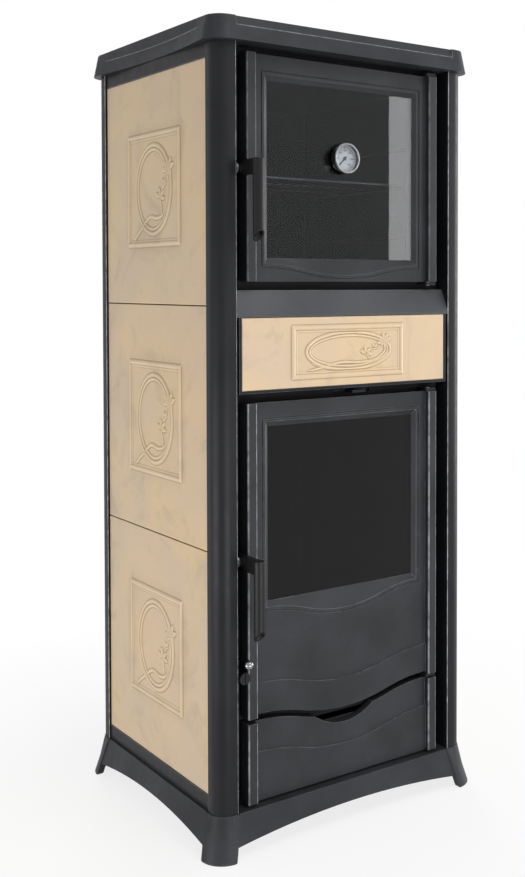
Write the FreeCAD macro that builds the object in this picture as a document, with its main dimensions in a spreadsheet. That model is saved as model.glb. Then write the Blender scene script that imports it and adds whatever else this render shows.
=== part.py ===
import FreeCAD, Part
import math
import os
import re
import Sketcher
from FreeCAD import Vector

# Wood-burning stove with an oven above the firebox and a store drawer below.
# Millimetres, +Z up, the doors face -Y, origin on the floor under the middle of the stove's box.

SIZES = [
    ("opening_width", 435, "clear width between the two front posts"),
    ("body_depth", 447, "front of the front posts to the back of the rear posts"),
    ("post_width", 36, "corner post across the front"),
    ("post_depth", 35, "corner post along the side"),
    ("post_radius", 24, "round outer corner of a post"),
    ("post_wall", 3, "wall of a post"),
    ("base_height", 70, "floor to the top of the base"),
    ("base_flare", 20, "how far the soles stand outside the posts"),
    ("base_rim", 3, "how far the base's top edge stands outside the posts"),
    ("base_wall", 9, "skirt of the base"),
    ("base_deck", 8, "top plate of the base"),
    ("leg_width", 42, "corner leg along each side"),
    ("leg_thickness", 13, "wall of a corner leg"),
    ("leg_proud", 1.5, "how far a leg stands out of the skirt"),
    ("skirt_end", 48, "height of the skirt beside a leg"),
    ("skirt_middle", 33, "height of the skirt at the crown of its arch"),
    ("lid_height", 39, "whole height of the lid"),
    ("lid_band", 24, "height of the lid's lower band"),
    ("lid_overhang", 13, "lid's lower edge outside the posts"),
    ("lid_draft", 8, "how far the lid's corners lean in"),
    ("lid_bow", 14, "how far the band's sides are drawn in"),
    ("lid_cap", 46, "plain corner beside the chamfer on the lid's front"),
    ("lid_chamfer", 4, "how far that chamfer cuts back the lid's top"),
    ("lid_plate", 10, "thickness of the lid over its hollow underside"),
    ("drawer_gap", 4, "drawer front above the base"),
    ("drawer_height", 131, "height of the drawer front"),
    ("drawer_door_gap", 8, "drawer front to the fire door"),
    ("fire_door_height", 508, "height of the fire door"),
    ("lever_gap", 16.5, "fire door to the holder of the front tile"),
    ("holder_lip", 5, "lip under the front tile"),
    ("front_tile_height", 115.5, "height of the front tile"),
    ("tile_clearance", 1, "front tile to the apron"),
    ("apron_height", 43, "height of the sloping apron"),
    ("apron_slope", 18, "how far the apron leans back"),
    ("apron_sheet", 2, "sheet of the apron and of the tile holder"),
    ("apron_gap", 14, "apron to the oven door"),
    ("oven_door_height", 363, "height of the oven door"),
    ("top_gap", 12, "oven door to the lid"),
    ("door_gap", 22, "door edge to the post"),
    ("stile_width", 18, "raised stile at each side of a door"),
    ("stile_setback", 5, "stile behind the front of the posts"),
    ("panel_setback", 15.5, "door panel behind the front of the posts"),
    ("gasket_thickness", 5, "sealing rope between a door and the body"),
    ("gasket_width", 8, "sealing rope across"),
    ("edge_round", 2.5, "rounded edge of the castings"),
    ("relief_step", 2.5, "raised lower band of the fire door and drawer front"),
    ("wave_dip", 25, "dip of the waved lines on the fire door and drawer"),
    ("oven_dip", 18, "dip of the waved line on the oven door"),
    ("wave_lift", 4, "fire door panel above the foot of its stiles"),
    ("band_height", 50, "waved lower band of the fire door"),
    ("drawer_band", 80, "waved lower band of the drawer front"),
    ("scoop_width", 118, "finger scoop in the drawer front"),
    ("scoop_depth", 20, "sag of the finger scoop"),
    ("window_margin", 28, "panel edge to the window"),
    ("window_drop", 40, "top of a door to its window"),
    ("window_rise", 38, "foot of the oven door to its window"),
    ("fire_window_rise", 183, "foot of the fire door to its window"),
    ("groove_margin", 14, "panel edge to the groove round the window"),
    ("groove_drop", 25, "top of a door to the groove"),
    ("groove_below", 16, "window to the end of the waved groove under it"),
    ("groove_width", 2.5, "groove round the window"),
    ("groove_depth", 2, "depth of that groove"),
    ("lip_width", 4, "flat lip between groove and bevel"),
    ("bevel_depth", 5.5, "bevel from the panel back to the glass"),
    ("glass_thickness", 4, "ceramic glass"),
    ("glass_lap", 8, "glass behind the edge of the window"),
    ("glass_clearance", 0.5, "glass inside its seat"),
    ("clip_ledge", 10, "ledge for the glass clips"),
    ("clip_length", 30, "glass clip"),
    ("clip_thickness", 2, "glass clip"),
    ("hinge_inset", 11.5, "hinge axis inside the door's right edge"),
    ("pin_radius", 4, "hinge pin"),
    ("pin_depth", 14, "hinge pin inside the door"),
    ("running_clearance", 0.05, "radial clearance of pins and rods"),
    ("lug_thickness", 4.5, "hinge lug"),
    ("lug_width", 20, "hinge lug across"),
    ("lug_gap", 1.2, "hinge lug to the door"),
    ("grip_radius", 9, "handle grip"),
    ("grip_bore", 6.5, "open lower end of the grip"),
    ("grip_length", 108, "handle arm to the lower end of the grip"),
    ("grip_reach", 42, "axis of the grip in front of the posts"),
    ("arm_height", 24, "handle arm"),
    ("arm_thickness", 8, "handle arm"),
    ("arm_gap", 3.3, "handle arm to the door edge"),
    ("pivot_radius", 5, "handle pivot pin"),
    ("pivot_depth", 12, "handle pivot pin inside the door"),
    ("pivot_head", 9, "head of the pivot pin"),
    ("keeper_gap", 0.5, "handle arm to its keeper"),
    ("side_gap", 0.3, "handle arm to its washer and head"),
    ("oven_handle_height", 179, "handle pivot above the foot of the oven door"),
    ("fire_handle_height", 256, "handle pivot above the foot of the fire door"),
    ("tile_thickness", 12, "side tile"),
    ("tile_inset", 4, "side tile behind the post's face"),
    ("tile_joint", 1.5, "joint between side tiles"),
    ("tile_end_gap", 0.5, "side tile to the post"),
    ("rail_lower", 25, "rail under the side tiles"),
    ("rail_upper", 23, "rail over the side tiles"),
    ("rail_proud", 1, "rail in front of the tile's face"),
    ("carrier_thickness", 2, "sheet behind the side tiles"),
    ("front_tile_thickness", 10, "front tile"),
    ("front_tile_setback", 1, "front tile behind the posts' front"),
    ("front_tile_margin", 10, "post to the front tile"),
    ("holder_margin", 4.5, "post to the holder of the front tile"),
    ("relief_height", 3, "relief on the tiles"),
    ("frame_bead", 8, "moulded frame on a tile"),
    ("side_frame_width", 197, "moulded frame on a side tile"),
    ("side_frame_height", 196, "moulded frame on a side tile"),
    ("side_ring_width", 130, "oval ring on a side tile"),
    ("side_ring_height", 150, "oval ring on a side tile"),
    ("front_frame_width", 232, "moulded frame on the front tile"),
    ("front_frame_height", 90, "moulded frame on the front tile"),
    ("front_ring_width", 172, "oval ring on the front tile"),
    ("front_ring_height", 62, "oval ring on the front tile"),
    ("ring_bead", 7, "bead of the oval rings"),
    ("plate_thickness", 4, "face plates of the body"),
    ("plate_split", 26, "joint of the face plates under the apron"),
    ("cavity_margin", 12, "door panel edge to the openings in the face plates"),
    ("cavity_drop", 24, "top of a door to the opening behind it"),
    ("cavity_rise", 20, "foot of the oven door to the oven"),
    ("fire_cavity_rise", 25, "foot of the fire door to the firebox opening"),
    ("muffle_wall", 2.5, "oven wall"),
    ("smoke_way", 29, "oven to the back of the smoke jacket"),
    ("rack_thickness", 3, "side rack of the oven"),
    ("rack_rail", 9, "rail of the side racks"),
    ("shelf_height", 150, "oven shelf above the oven floor"),
    ("shelf_thickness", 4, "oven shelf"),
    ("shelf_pitch", 26, "slots of the oven shelf"),
    ("shelf_bar", 5, "bar of the oven shelf"),
    ("shell_inset", 5.5, "body shell inside the door edge"),
    ("shell_rear_gap", 28, "body shell to the back of the posts"),
    ("shell_wall", 4, "firebox shell"),
    ("jacket_wall", 2, "smoke jacket"),
    ("shell_head", 49, "firebox shell above the top of the fire door"),
    ("lining_thickness", 26, "refractory lining"),
    ("lining_front_gap", 8, "lining behind the face plate"),
    ("hearth_rise", 101, "underside of the hearth above the foot of the fire door"),
    ("hearth_thickness", 8, "hearth plate"),
    ("lining_height", 388, "refractory lining above the hearth"),
    ("baffle_thickness", 12, "baffle over the fire"),
    ("baffle_front", 90, "baffle behind the face plate"),
    ("retainer_height", 40, "log retainer"),
    ("retainer_thickness", 6, "log retainer"),
    ("ash_pan_height", 62, "ash pan"),
    ("ash_pan_wall", 2, "ash pan"),
    ("ash_pan_side_gap", 46, "ash pan to the shell"),
    ("grate_length", 150, "sliding grate"),
    ("grate_width", 120, "sliding grate"),
    ("grate_thickness", 7, "sliding grate"),
    ("grate_gap", 0.4, "sliding grate to the hearth and its guides"),
    ("grate_setback", 103, "sliding grate behind the face plate"),
    ("grate_slot", 9, "slots of the grate"),
    ("grate_pitch", 22, "slots of the grate"),
    ("guide_thickness", 4, "guides of the sliding grate and air slider"),
    ("grate_travel", 40, "pull of the shaker rod"),
    ("rod_radius", 3, "shaker rod"),
    ("knob_radius", 7.5, "knob of the shaker rod"),
    ("knob_reach", 15, "knob in front of the posts"),
    ("dial_radius", 9.5, "air dial"),
    ("dial_thickness", 6, "air dial"),
    ("dial_reach", 4, "air dial in front of the posts"),
    ("dial_height", 72, "air dial above the foot of the fire door"),
    ("shutter_radius", 13, "shutter turned by the air dial"),
    ("shutter_thickness", 3, "shutter of the air dial and air slider"),
    ("vent_radius", 3.5, "air holes behind the shutter"),
    ("lever_width", 26, "air lever"),
    ("lever_offset", 30, "air lever right of the middle"),
    ("lever_thickness", 4, "air lever"),
    ("lever_reach", 21, "air lever in front of the face plate"),
    ("lever_travel", 20, "air lever each way"),
    ("slider_height", 30, "air slider behind the face plate"),
    ("slider_length", 96, "air slider behind the face plate"),
    ("drawer_back", 30, "back of the drawer front behind the posts' front"),
    ("drawer_wall", 2, "drawer box"),
    ("drawer_depth", 360, "drawer box"),
    ("drawer_side", 92, "height of the drawer box"),
    ("drawer_inset", 8, "drawer box inside the panel edge"),
    ("runner_height", 8, "drawer runner"),
    ("runner_width", 16, "drawer runner"),
    ("back_sheet", 2, "back panel"),
    ("back_setback", 6, "back panel inside the rear posts"),
    ("collar_radius", 64.5, "flue collar outside"),
    ("collar_wall", 2.5, "flue collar"),
    ("collar_reach", 50, "flue collar behind the rear posts"),
    ("collar_flange", 82, "flange of the flue collar"),
    ("collar_height", 190, "flue collar under the lid"),
    ("collar_gap", 22, "flue collar to the hole in the back panel"),
    ("screw_radius", 4.5, "screw head on the back panel"),
    ("screw_head", 2.5, "screw head on the back panel"),
    ("screw_margin", 12, "screw to the panel edge"),
    ("case_radius", 25.5, "thermometer case"),
    ("case_depth", 12, "thermometer case"),
    ("case_wall", 1.5, "thermometer case"),
    ("case_gap", 4, "thermometer case to the glass"),
    ("case_height", 169, "thermometer above the foot of the oven window"),
    ("stem_radius", 4, "thermometer stem"),
    ("stem_length", 22, "thermometer stem behind the glass"),
    ("washer_radius", 9, "thermometer washer and pivot washer"),
    ("lens_thickness", 1.5, "thermometer lens"),
    ("dial_plate", 1, "thermometer dial plate"),
    ("spindle_radius", 1, "thermometer spindle"),
    ("needle_length", 15, "thermometer needle"),
    ("needle_width", 1.6, "thermometer needle"),
    ("needle_thickness", 0.8, "thermometer needle"),
]

doc = FreeCAD.newDocument("stove_with_oven")
sheet = doc.addObject("Spreadsheet::Sheet", "Sizes")
for row, (alias, value, meaning) in enumerate(SIZES, start=1):
    sheet.set(f"A{row}", meaning)
    sheet.set(f"B{row}", str(value))
    sheet.setAlias(f"B{row}", alias)
doc.recompute()

ALIAS = re.compile(r"\b(" + "|".join(alias for alias, value, meaning in SIZES) + r")\b")
nodes = []


def bound(expression):
    """An expression on the named sizes, as the document reads it."""
    return ALIAS.sub(r"Sizes.\1", expression)


def mm(expression):
    """The value of an expression on the named sizes."""
    return float(sheet.evalExpression(bound(expression)))


# Places that several pieces share. Y counts from the front of the posts, Z from the floor.
FRONT = "((grip_reach + grip_radius - body_depth - collar_reach) / 2)"
OPEN_HALF = "(opening_width / 2)"
BODY_HALF = f"({OPEN_HALF} + post_width)"
DOOR_HALF = f"({OPEN_HALF} - door_gap)"
PANEL_HALF = f"({DOOR_HALF} - stile_width)"
WINDOW_HALF = f"({PANEL_HALF} - window_margin)"
GLASS_HALF = f"({WINDOW_HALF} + glass_lap)"
LEDGE_HALF = f"({GLASS_HALF} + clip_ledge)"
CAVITY_HALF = f"({PANEL_HALF} - cavity_margin)"
SHELL_HALF = f"({DOOR_HALF} - shell_inset)"
TILE_FACE = f"({BODY_HALF} - tile_inset)"
TILE_BACK = f"({TILE_FACE} - tile_thickness)"
CARRIER_FACE = f"({TILE_BACK} - carrier_thickness)"
RECESS_X = f"(-{DOOR_HALF} - door_gap / 2)"

DRAWER_LOW = "(base_height + drawer_gap)"
DRAWER_TOP = f"({DRAWER_LOW} + drawer_height)"
FIRE_LOW = f"({DRAWER_TOP} + drawer_door_gap)"
FIRE_TOP = f"({FIRE_LOW} + fire_door_height)"
HOLDER_LOW = f"({FIRE_TOP} + lever_gap)"
TILE_LOW = f"({HOLDER_LOW} + holder_lip)"
TILE_TOP = f"({TILE_LOW} + front_tile_height)"
APRON_LOW = f"({TILE_TOP} + tile_clearance)"
APRON_TOP = f"({APRON_LOW} + apron_height)"
OVEN_LOW = f"({APRON_TOP} + apron_gap)"
OVEN_TOP = f"({OVEN_LOW} + oven_door_height)"
BODY_TOP = f"({OVEN_TOP} + top_gap)"
PLATE_JOINT = f"({APRON_LOW} - plate_split)"

PLATE_FRONT = "post_depth"
PLATE_BACK = "(post_depth + plate_thickness)"
DOOR_BACK = "(post_depth - gasket_thickness)"
GLASS_FRONT = "(panel_setback + bevel_depth)"
GLASS_BACK = f"({GLASS_FRONT} + glass_thickness)"
HINGE_X = f"({DOOR_HALF} - hinge_inset)"
HINGE_Y = f"((stile_setback + {DOOR_BACK}) / 2)"
SHELL_BACK = "(body_depth - shell_rear_gap)"
SHELL_LOW = f"({FIRE_LOW} + fire_cavity_rise - shell_wall - runner_height)"
SHELL_TOP = f"({FIRE_TOP} + shell_head)"
OVEN_FLOOR = f"({OVEN_LOW} + cavity_rise)"
OVEN_ROOF = f"({OVEN_TOP} - cavity_drop)"
HEARTH_LOW = f"({FIRE_LOW} + hearth_rise)"
HEARTH_TOP = f"({HEARTH_LOW} + hearth_thickness)"
LINING_IN = f"({SHELL_HALF} - shell_wall - lining_thickness)"
LINING_TOP = f"({HEARTH_TOP} + lining_height)"
MUFFLE_BACK = f"({SHELL_BACK} - smoke_way)"
COLLAR_Z = f"({BODY_TOP} - collar_height)"
ROD_Z = f"({HEARTH_LOW} - grate_gap - grate_thickness / 2)"
DIAL_Z = f"({FIRE_LOW} + dial_height)"
LEVER_Z = f"({FIRE_TOP} + lever_gap / 2)"
CASE_Z = f"({OVEN_LOW} + window_rise + case_height)"
CASE_BACK = f"({GLASS_FRONT} - case_gap)"
CASE_FRONT = f"({CASE_BACK} - case_depth)"


def place(piece, x, y, z):
    """Hold a piece's place by expressions."""
    piece.setExpression("Placement.Base.x", bound(x))
    piece.setExpression("Placement.Base.y", bound(f"{FRONT} + ({y})"))
    piece.setExpression("Placement.Base.z", bound(z))
    return piece


def box(name, x, y, z):
    """A block between two expressions on each axis."""
    block = doc.addObject("Part::Box", name)
    for side, (low, high) in zip(("Length", "Width", "Height"), (x, y, z)):
        block.setExpression(side, bound(f"({high}) - ({low})"))
    return place(block, x[0], y[0], z[0])


def sideways(sign, inner, outer):
    """A span on the right side of the stove, or its mirror on the left."""
    return (inner, outer) if sign > 0 else (f"-({outer})", f"-({inner})")


TURN = {
    "x": FreeCAD.Rotation(Vector(0, 1, 0), 90),
    "y": FreeCAD.Rotation(Vector(1, 0, 0), -90),
    "z": FreeCAD.Rotation(),
}


def rod(name, axis, radius, start, length):
    """A round bar from a start point along one axis."""
    bar = doc.addObject("Part::Cylinder", name)
    bar.Placement = FreeCAD.Placement(Vector(), TURN[axis])
    bar.setExpression("Radius", bound(radius))
    bar.setExpression("Height", bound(length))
    return place(bar, *start)


def fuse(name, *pieces):
    joined = doc.addObject("Part::MultiFuse", name)
    joined.Shapes = list(pieces)
    joined.Refine = True
    return joined


def cut(name, base, *tools):
    result = doc.addObject("Part::Cut", name)
    result.Base = base
    result.Tool = tools[0] if len(tools) == 1 else fuse(f"{name}_cutters", *tools)
    result.Refine = True
    return result


def group(name, *pieces):
    """Several separate solids in one node."""
    together = doc.addObject("Part::Compound", name)
    together.Links = list(pieces)
    return together


def node(piece, label):
    piece.Label = label
    nodes.append(piece)
    return piece


def casting(label, shape):
    """A piece whose form is shaped directly, in the frame of the posts' front."""
    piece = doc.addObject("Part::Feature", label)
    piece.Shape = shape
    piece.Placement = FreeCAD.Placement(Vector(0, mm(FRONT), 0), FreeCAD.Rotation())
    return node(piece, label)


def hold_rectangle(sketch, low, high):
    """A rectangle in a sketch, its two corners held by expressions."""
    first = sketch.GeometryCount
    (left, bottom), (right, top) = low, high
    points = [Vector(mm(u), mm(v), 0) for u, v in ((left, bottom), (right, bottom), (right, top), (left, top))]
    for index in range(4):
        sketch.addGeometry(Part.LineSegment(points[index], points[(index + 1) % 4]), False)
    for index in range(4):
        sketch.addConstraint(Sketcher.Constraint("Coincident", first + index, 2, first + (index + 1) % 4, 1))
    for index, direction in enumerate(("Horizontal", "Vertical", "Horizontal", "Vertical")):
        sketch.addConstraint(Sketcher.Constraint(direction, first + index))
    held = (("DistanceX", first, 1, left), ("DistanceY", first, 1, bottom),
            ("DistanceX", first + 1, 2, right), ("DistanceY", first + 1, 2, top))
    for kind, line, end, expression in held:
        index = sketch.addConstraint(Sketcher.Constraint(kind, -1, 1, line, end, mm(expression)))
        sketch.setExpression(f"Constraints[{index}]", bound(expression))


def hold_circle(sketch, centre, radius):
    """A circle in a sketch, its centre and radius held by expressions."""
    middle = Vector(mm(centre[0]), mm(centre[1]), 0)
    ring = sketch.addGeometry(Part.Circle(middle, Vector(0, 0, 1), mm(radius)), False)
    held = (("DistanceX", centre[0]), ("DistanceY", centre[1]))
    for kind, expression in held:
        index = sketch.addConstraint(Sketcher.Constraint(kind, -1, 1, ring, 3, mm(expression)))
        sketch.setExpression(f"Constraints[{index}]", bound(expression))
    index = sketch.addConstraint(Sketcher.Constraint("Radius", ring, mm(radius)))
    sketch.setExpression(f"Constraints[{index}]", bound(radius))


def plate(label, plane, level, thickness, outline, holes=(), round_holes=()):
    """A flat plate padded from a sketch: XZ plates grow to the back, XY upwards, YZ to the right."""
    body = doc.addObject("PartDesign::Body", label)
    base = [feature for feature in body.Origin.OriginFeatures if feature.Role == f"{plane}_Plane"][0]
    sketch = body.newObject("Sketcher::SketchObject", f"{label}_sketch")
    sketch.AttachmentSupport = (base, [""])
    sketch.MapMode = "FlatFace"
    for low, high in (outline, *holes):
        hold_rectangle(sketch, low, high)
    for centre, radius in round_holes:
        hold_circle(sketch, centre, radius)
    pad = body.newObject("PartDesign::Pad", f"{label}_pad")
    pad.Profile = sketch
    pad.setExpression("Length", bound(thickness))
    pad.Reversed = plane == "XZ"
    levels = {"XZ": ("0", level, "0"), "XY": ("0", "0", level), "YZ": (level, "0", "0")}
    place(body, *levels[plane])
    return body


# Base: a flared skirt with an arch on each side, and four corner legs.
def rounded_wire(half, front, back, radius, z, bow=0):
    """A rectangle with round corners; its two sides may be drawn in."""
    slant = radius * (1 - math.sqrt(0.5))
    corners = (
        (Vector(-half + radius, front, z), Vector(half - radius, front, z)),
        (Vector(half, front + radius, z), Vector(half, back - radius, z)),
        (Vector(half - radius, back, z), Vector(-half + radius, back, z)),
        (Vector(-half, back - radius, z), Vector(-half, front + radius, z)),
    )
    rounds = (Vector(half - slant, front + slant, z), Vector(half - slant, back - slant, z),
              Vector(-half + slant, back - slant, z), Vector(-half + slant, front + slant, z))
    edges = []
    for index, (start, end) in enumerate(corners):
        if bow and index % 2:
            middle = (start + end) * 0.5
            middle.x -= math.copysign(bow, middle.x)
            edges.append(Part.Arc(start, middle, end).toShape())
        else:
            edges.append(Part.LineSegment(start, end).toShape())
        edges.append(Part.Arc(end, rounds[index], corners[(index + 1) % 4][0]).toShape())
    return Part.Wire(edges)


def curved_leg(low, high, width, thickness):
    """A quarter ring that leans outward, its outer corner at (half, front edge, height) below and above."""
    wires = []
    for half, front, z in (low, high):
        centre = Vector(half - width, front + width, z)
        outer, inner = [[centre + Vector(radius, 0, 0),
                         centre + Vector(radius * math.sqrt(0.5), -radius * math.sqrt(0.5), 0),
                         centre + Vector(0, -radius, 0)] for radius in (width, width - thickness)]
        edges = [
            Part.Arc(*outer).toShape(),
            Part.LineSegment(outer[2], inner[2]).toShape(),
            Part.Arc(*inner[::-1]).toShape(),
            Part.LineSegment(inner[0], outer[0]).toShape(),
        ]
        wires.append(Part.Wire(edges))
    return Part.makeLoft(wires, True, True)


def four_corners(column):
    """The column at the front right corner, repeated at the other three."""
    middle = Vector(0, mm("body_depth / 2"), 0)
    left = column.mirror(Vector(), Vector(1, 0, 0))
    front = [column, left]
    return front + [piece.mirror(middle, Vector(0, 1, 0)) for piece in front]


def arch_cutter(half, along_front):
    """The opening under one pair of skirts, from leg to leg below an arc."""
    lean = mm("(base_flare - base_rim) / base_height")
    foot = half + mm("base_flare - leg_width")
    spring_z = mm("base_height - skirt_end")
    spring = foot - lean * spring_z
    below = -mm("base_wall")
    start = Vector(-spring, 0, spring_z)
    crown = Vector(0, 0, mm("base_height - skirt_middle"))
    end = Vector(spring, 0, spring_z)
    outline = [
        Part.Arc(start, crown, end).toShape(),
        Part.LineSegment(end, Vector(foot, 0, 0)).toShape(),
        Part.LineSegment(Vector(foot, 0, 0), Vector(foot, 0, below)).toShape(),
        Part.LineSegment(Vector(foot, 0, below), Vector(-foot, 0, below)).toShape(),
        Part.LineSegment(Vector(-foot, 0, below), Vector(-foot, 0, 0)).toShape(),
        Part.LineSegment(Vector(-foot, 0, 0), start).toShape(),
    ]
    reach = mm(f"2 * (body_depth + {BODY_HALF})")
    cutter = Part.Face(Part.Wire(outline)).extrude(Vector(0, reach, 0))
    cutter.translate(Vector(0, -reach / 2, 0))
    if not along_front:
        cutter.rotate(Vector(), Vector(0, 0, 1), 90)
    cutter.translate(Vector(0, mm("body_depth / 2"), 0))
    return cutter


half = mm(BODY_HALF)
depth = mm("body_depth")
height = mm("base_height")
rim = mm("base_rim")
flare = mm("base_flare")
wall = mm("base_wall")
radius = mm("post_radius")
proud = mm("leg_proud")
skirt = Part.makeLoft([
    rounded_wire(half + flare - proud, proud - flare, depth + flare - proud, radius + flare, 0),
    rounded_wire(half + rim - proud, proud - rim, depth + rim - proud, radius + rim, height)], True, True)
inside = half + flare - proud - wall
inside_top = half + rim - proud - wall
hollow = Part.makeLoft([
    rounded_wire(inside, half - inside, depth - half + inside, radius + flare - wall, 0),
    rounded_wire(inside_top, half - inside_top, depth - half + inside_top, radius,
                 height - mm("base_deck"))], True, True)
skirt = skirt.cut(hollow)
skirt = skirt.cut(arch_cutter(half, True))
skirt = skirt.cut(arch_cutter(depth / 2, False))
leg = curved_leg((half + flare, -flare, 0), (half + rim, -rim, height), mm("leg_width"), mm("leg_thickness"))
casting("base_casting", skirt.multiFuse(four_corners(leg)).removeSplitter())


# Corner posts: round-cornered tubes that stand on the base.
def post_block(name, side, end, inset):
    """One round-cornered bar; side and end pick the corner, inset shrinks it."""
    near = f"({OPEN_HALF} + {inset})"
    far = f"({BODY_HALF} - {inset})"
    turn = f"({BODY_HALF} - post_radius)"
    first = f"({inset})"
    last = f"(post_depth - {inset})"
    z = ("base_height", BODY_TOP)

    def across(low, high):
        return (low, high) if side > 0 else (f"-{high}", f"-{low}")

    def along(low, high):
        return (low, high) if end < 0 else (f"body_depth - {high}", f"body_depth - {low}")

    centre_x = turn if side > 0 else f"-{turn}"
    centre_y = "post_radius" if end < 0 else "body_depth - post_radius"
    bar = doc.addObject("Part::MultiCommon", name)
    bar.Shapes = [
        box(f"{name}_block", across(near, far), along(first, last), z),
        fuse(f"{name}_section",
             box(f"{name}_inner", across(near, turn), along(first, last), z),
             box(f"{name}_outer", across(turn, far), along("post_radius", last), z),
             rod(f"{name}_round", "z", f"post_radius - {inset}", (centre_x, centre_y, z[0]),
                 f"{z[1]} - {z[0]}")),
    ]
    bar.Refine = True
    return bar


for label, side, end in (("corner_post_front_left", -1, -1), ("corner_post_front_right", 1, -1),
                         ("corner_post_rear_left", -1, 1), ("corner_post_rear_right", 1, 1)):
    bar = post_block(f"{label}_bar", side, end, "0")
    core = post_block(f"{label}_core", side, end, "post_wall")
    node(cut(label, bar, core), label)

# Lid: a band with drawn-in sides, a strip from it to the straight-edged top, and a chamfer along the front.
over = mm("lid_overhang")
draft = mm("lid_draft")
bow = mm("lid_bow")
low = mm(BODY_TOP)
crease = low + mm("lid_band")
top = low + mm("lid_height")
lean = draft * mm("lid_band / lid_height")
lid = Part.makeLoft([
    rounded_wire(half + over, -over, depth + over, radius + over, low, bow),
    rounded_wire(half + over - lean, lean - over, depth + over - lean, radius + over - lean, crease, bow),
    rounded_wire(half + over - draft, draft - over, depth + over - draft, radius + over - draft, top)],
    True, True)
chamfer_half = half + over - mm("lid_cap")
chamfer_outline = Part.makePolygon([
    Vector(-chamfer_half, lean - over, crease),
    Vector(-chamfer_half, draft - over + mm("lid_chamfer"), top),
    Vector(-chamfer_half, -2 * over, top),
    Vector(-chamfer_half, -2 * over, crease),
    Vector(-chamfer_half, lean - over, crease)])
chamfer = Part.Face(chamfer_outline).extrude(Vector(2 * chamfer_half, 0, 0))
underside_half = mm(CAVITY_HALF)
underside = Part.makeBox(2 * underside_half, mm(f"{SHELL_BACK} - {PLATE_BACK}"), mm("lid_height - lid_plate"),
                         Vector(-underside_half, mm(PLATE_BACK), low))
casting("top_lid", lid.cut(chamfer).cut(underside).removeSplitter())

# Body: back panel with its screws, face plates, side carriers, tiles and their rails.
screw_x = f"({OPEN_HALF} - screw_margin)"
screw_levels = ["base_height + screw_margin", f"(base_height + {BODY_TOP}) / 2", f"{BODY_TOP} - screw_margin"]
back_front = "(body_depth - back_setback - back_sheet)"
vents = []
for count in range(6):
    vent_low = f"{FIRE_LOW} + {count} * grate_pitch * 2"
    vents.append(((f"-{CAVITY_HALF} + stile_width", vent_low),
                  (f"{CAVITY_HALF} - stile_width", f"{vent_low} + grate_slot")))
node(plate("back_panel", "XZ", back_front, "back_sheet",
           ((f"-{OPEN_HALF}", "base_height"), (OPEN_HALF, BODY_TOP)), vents,
           [(("0", COLLAR_Z), "collar_radius + collar_gap")]), "back_panel")
screws = []
for side in ("-", ""):
    for level in screw_levels:
        screws.append(rod("screw", "y", "screw_radius",
                          (f"{side}{screw_x}", "body_depth - back_setback", level), "screw_head"))
node(group("back_panel_screws", *screws), "back_panel_screws")

cavity = ((f"-{CAVITY_HALF}", OVEN_FLOOR), (CAVITY_HALF, OVEN_ROOF))
node(plate("oven_face_plate", "XZ", PLATE_FRONT, "plate_thickness",
           ((f"-{CARRIER_FACE}", PLATE_JOINT), (CARRIER_FACE, BODY_TOP)), [cavity]), "oven_face_plate")

drawer_half = f"({PANEL_HALF} - drawer_inset)"
drawer_floor = "(base_height + runner_height)"
lever_low = f"{LEVER_Z} - lever_thickness / 2"
lever_high = f"{LEVER_Z} + lever_thickness / 2"
lever_slot = "(lever_width / 2 + lever_travel + guide_thickness)"
fire_holes = [
    ((f"-{CAVITY_HALF}", f"{FIRE_LOW} + fire_cavity_rise"), (CAVITY_HALF, f"{FIRE_TOP} - cavity_drop")),
    ((f"-{drawer_half} - guide_thickness", f"{drawer_floor} - drawer_wall"),
     (f"{drawer_half} + guide_thickness", f"{drawer_floor} + drawer_side + drawer_inset")),
    ((f"lever_offset - {lever_slot}", f"{lever_low} - 2 * grate_gap"),
     (f"lever_offset + {lever_slot}", f"{lever_high} + 2 * grate_gap")),
]
vent_step = "((shutter_radius + spindle_radius) / 2 + spindle_radius)"
fire_bores = [
    ((RECESS_X, ROD_Z), "rod_radius + running_clearance"),
    ((RECESS_X, DIAL_Z), "rod_radius + running_clearance"),
    ((RECESS_X, f"{DIAL_Z} + {vent_step}"), "vent_radius"),
    ((RECESS_X, f"{DIAL_Z} - {vent_step}"), "vent_radius"),
]
fire_sheet = plate("firebox_face_sheet", "XZ", PLATE_FRONT, "plate_thickness",
                   ((f"-{CARRIER_FACE}", "base_height"), (CARRIER_FACE, PLATE_JOINT)), fire_holes, fire_bores)
guide_x = ("lever_offset - slider_length / 2 - lever_travel", "lever_offset + slider_length / 2 + lever_travel")
guide_y = (PLATE_BACK, f"{PLATE_BACK} + 2 * shutter_thickness")
slider_half = "(slider_height / 2 + grate_gap)"
guide_low = box("slider_guide_low", guide_x, guide_y,
                (f"{LEVER_Z} - {slider_half} - guide_thickness", f"{LEVER_Z} - {slider_half}"))
guide_high = box("slider_guide_high", guide_x, guide_y,
                 (f"{LEVER_Z} + {slider_half}", f"{LEVER_Z} + {slider_half} + guide_thickness"))
node(fuse("firebox_face_plate", fire_sheet, guide_low, guide_high), "firebox_face_plate")

side_y = ("post_depth", "body_depth - post_depth")
tile_y = ("post_depth + tile_end_gap", "body_depth - post_depth - tile_end_gap")
TILE_PITCH = f"(({BODY_TOP} - base_height - rail_lower - rail_upper + tile_joint) / 3)"
rail_face = f"({TILE_FACE} + rail_proud)"
rails = []
for name, sign in (("left", -1), ("right", 1)):
    carrier = box(f"side_carrier_{name}", sideways(sign, CARRIER_FACE, TILE_BACK), side_y,
                  ("base_height", BODY_TOP))
    node(carrier, f"side_carrier_{name}")
    rail_x = sideways(sign, TILE_BACK, rail_face)
    rails.append(box("rail", rail_x, side_y, ("base_height", "base_height + rail_lower")))
    rails.append(box("rail", rail_x, side_y, (f"{BODY_TOP} - rail_upper", BODY_TOP)))
node(group("tile_rails", *rails), "tile_rails")


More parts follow.
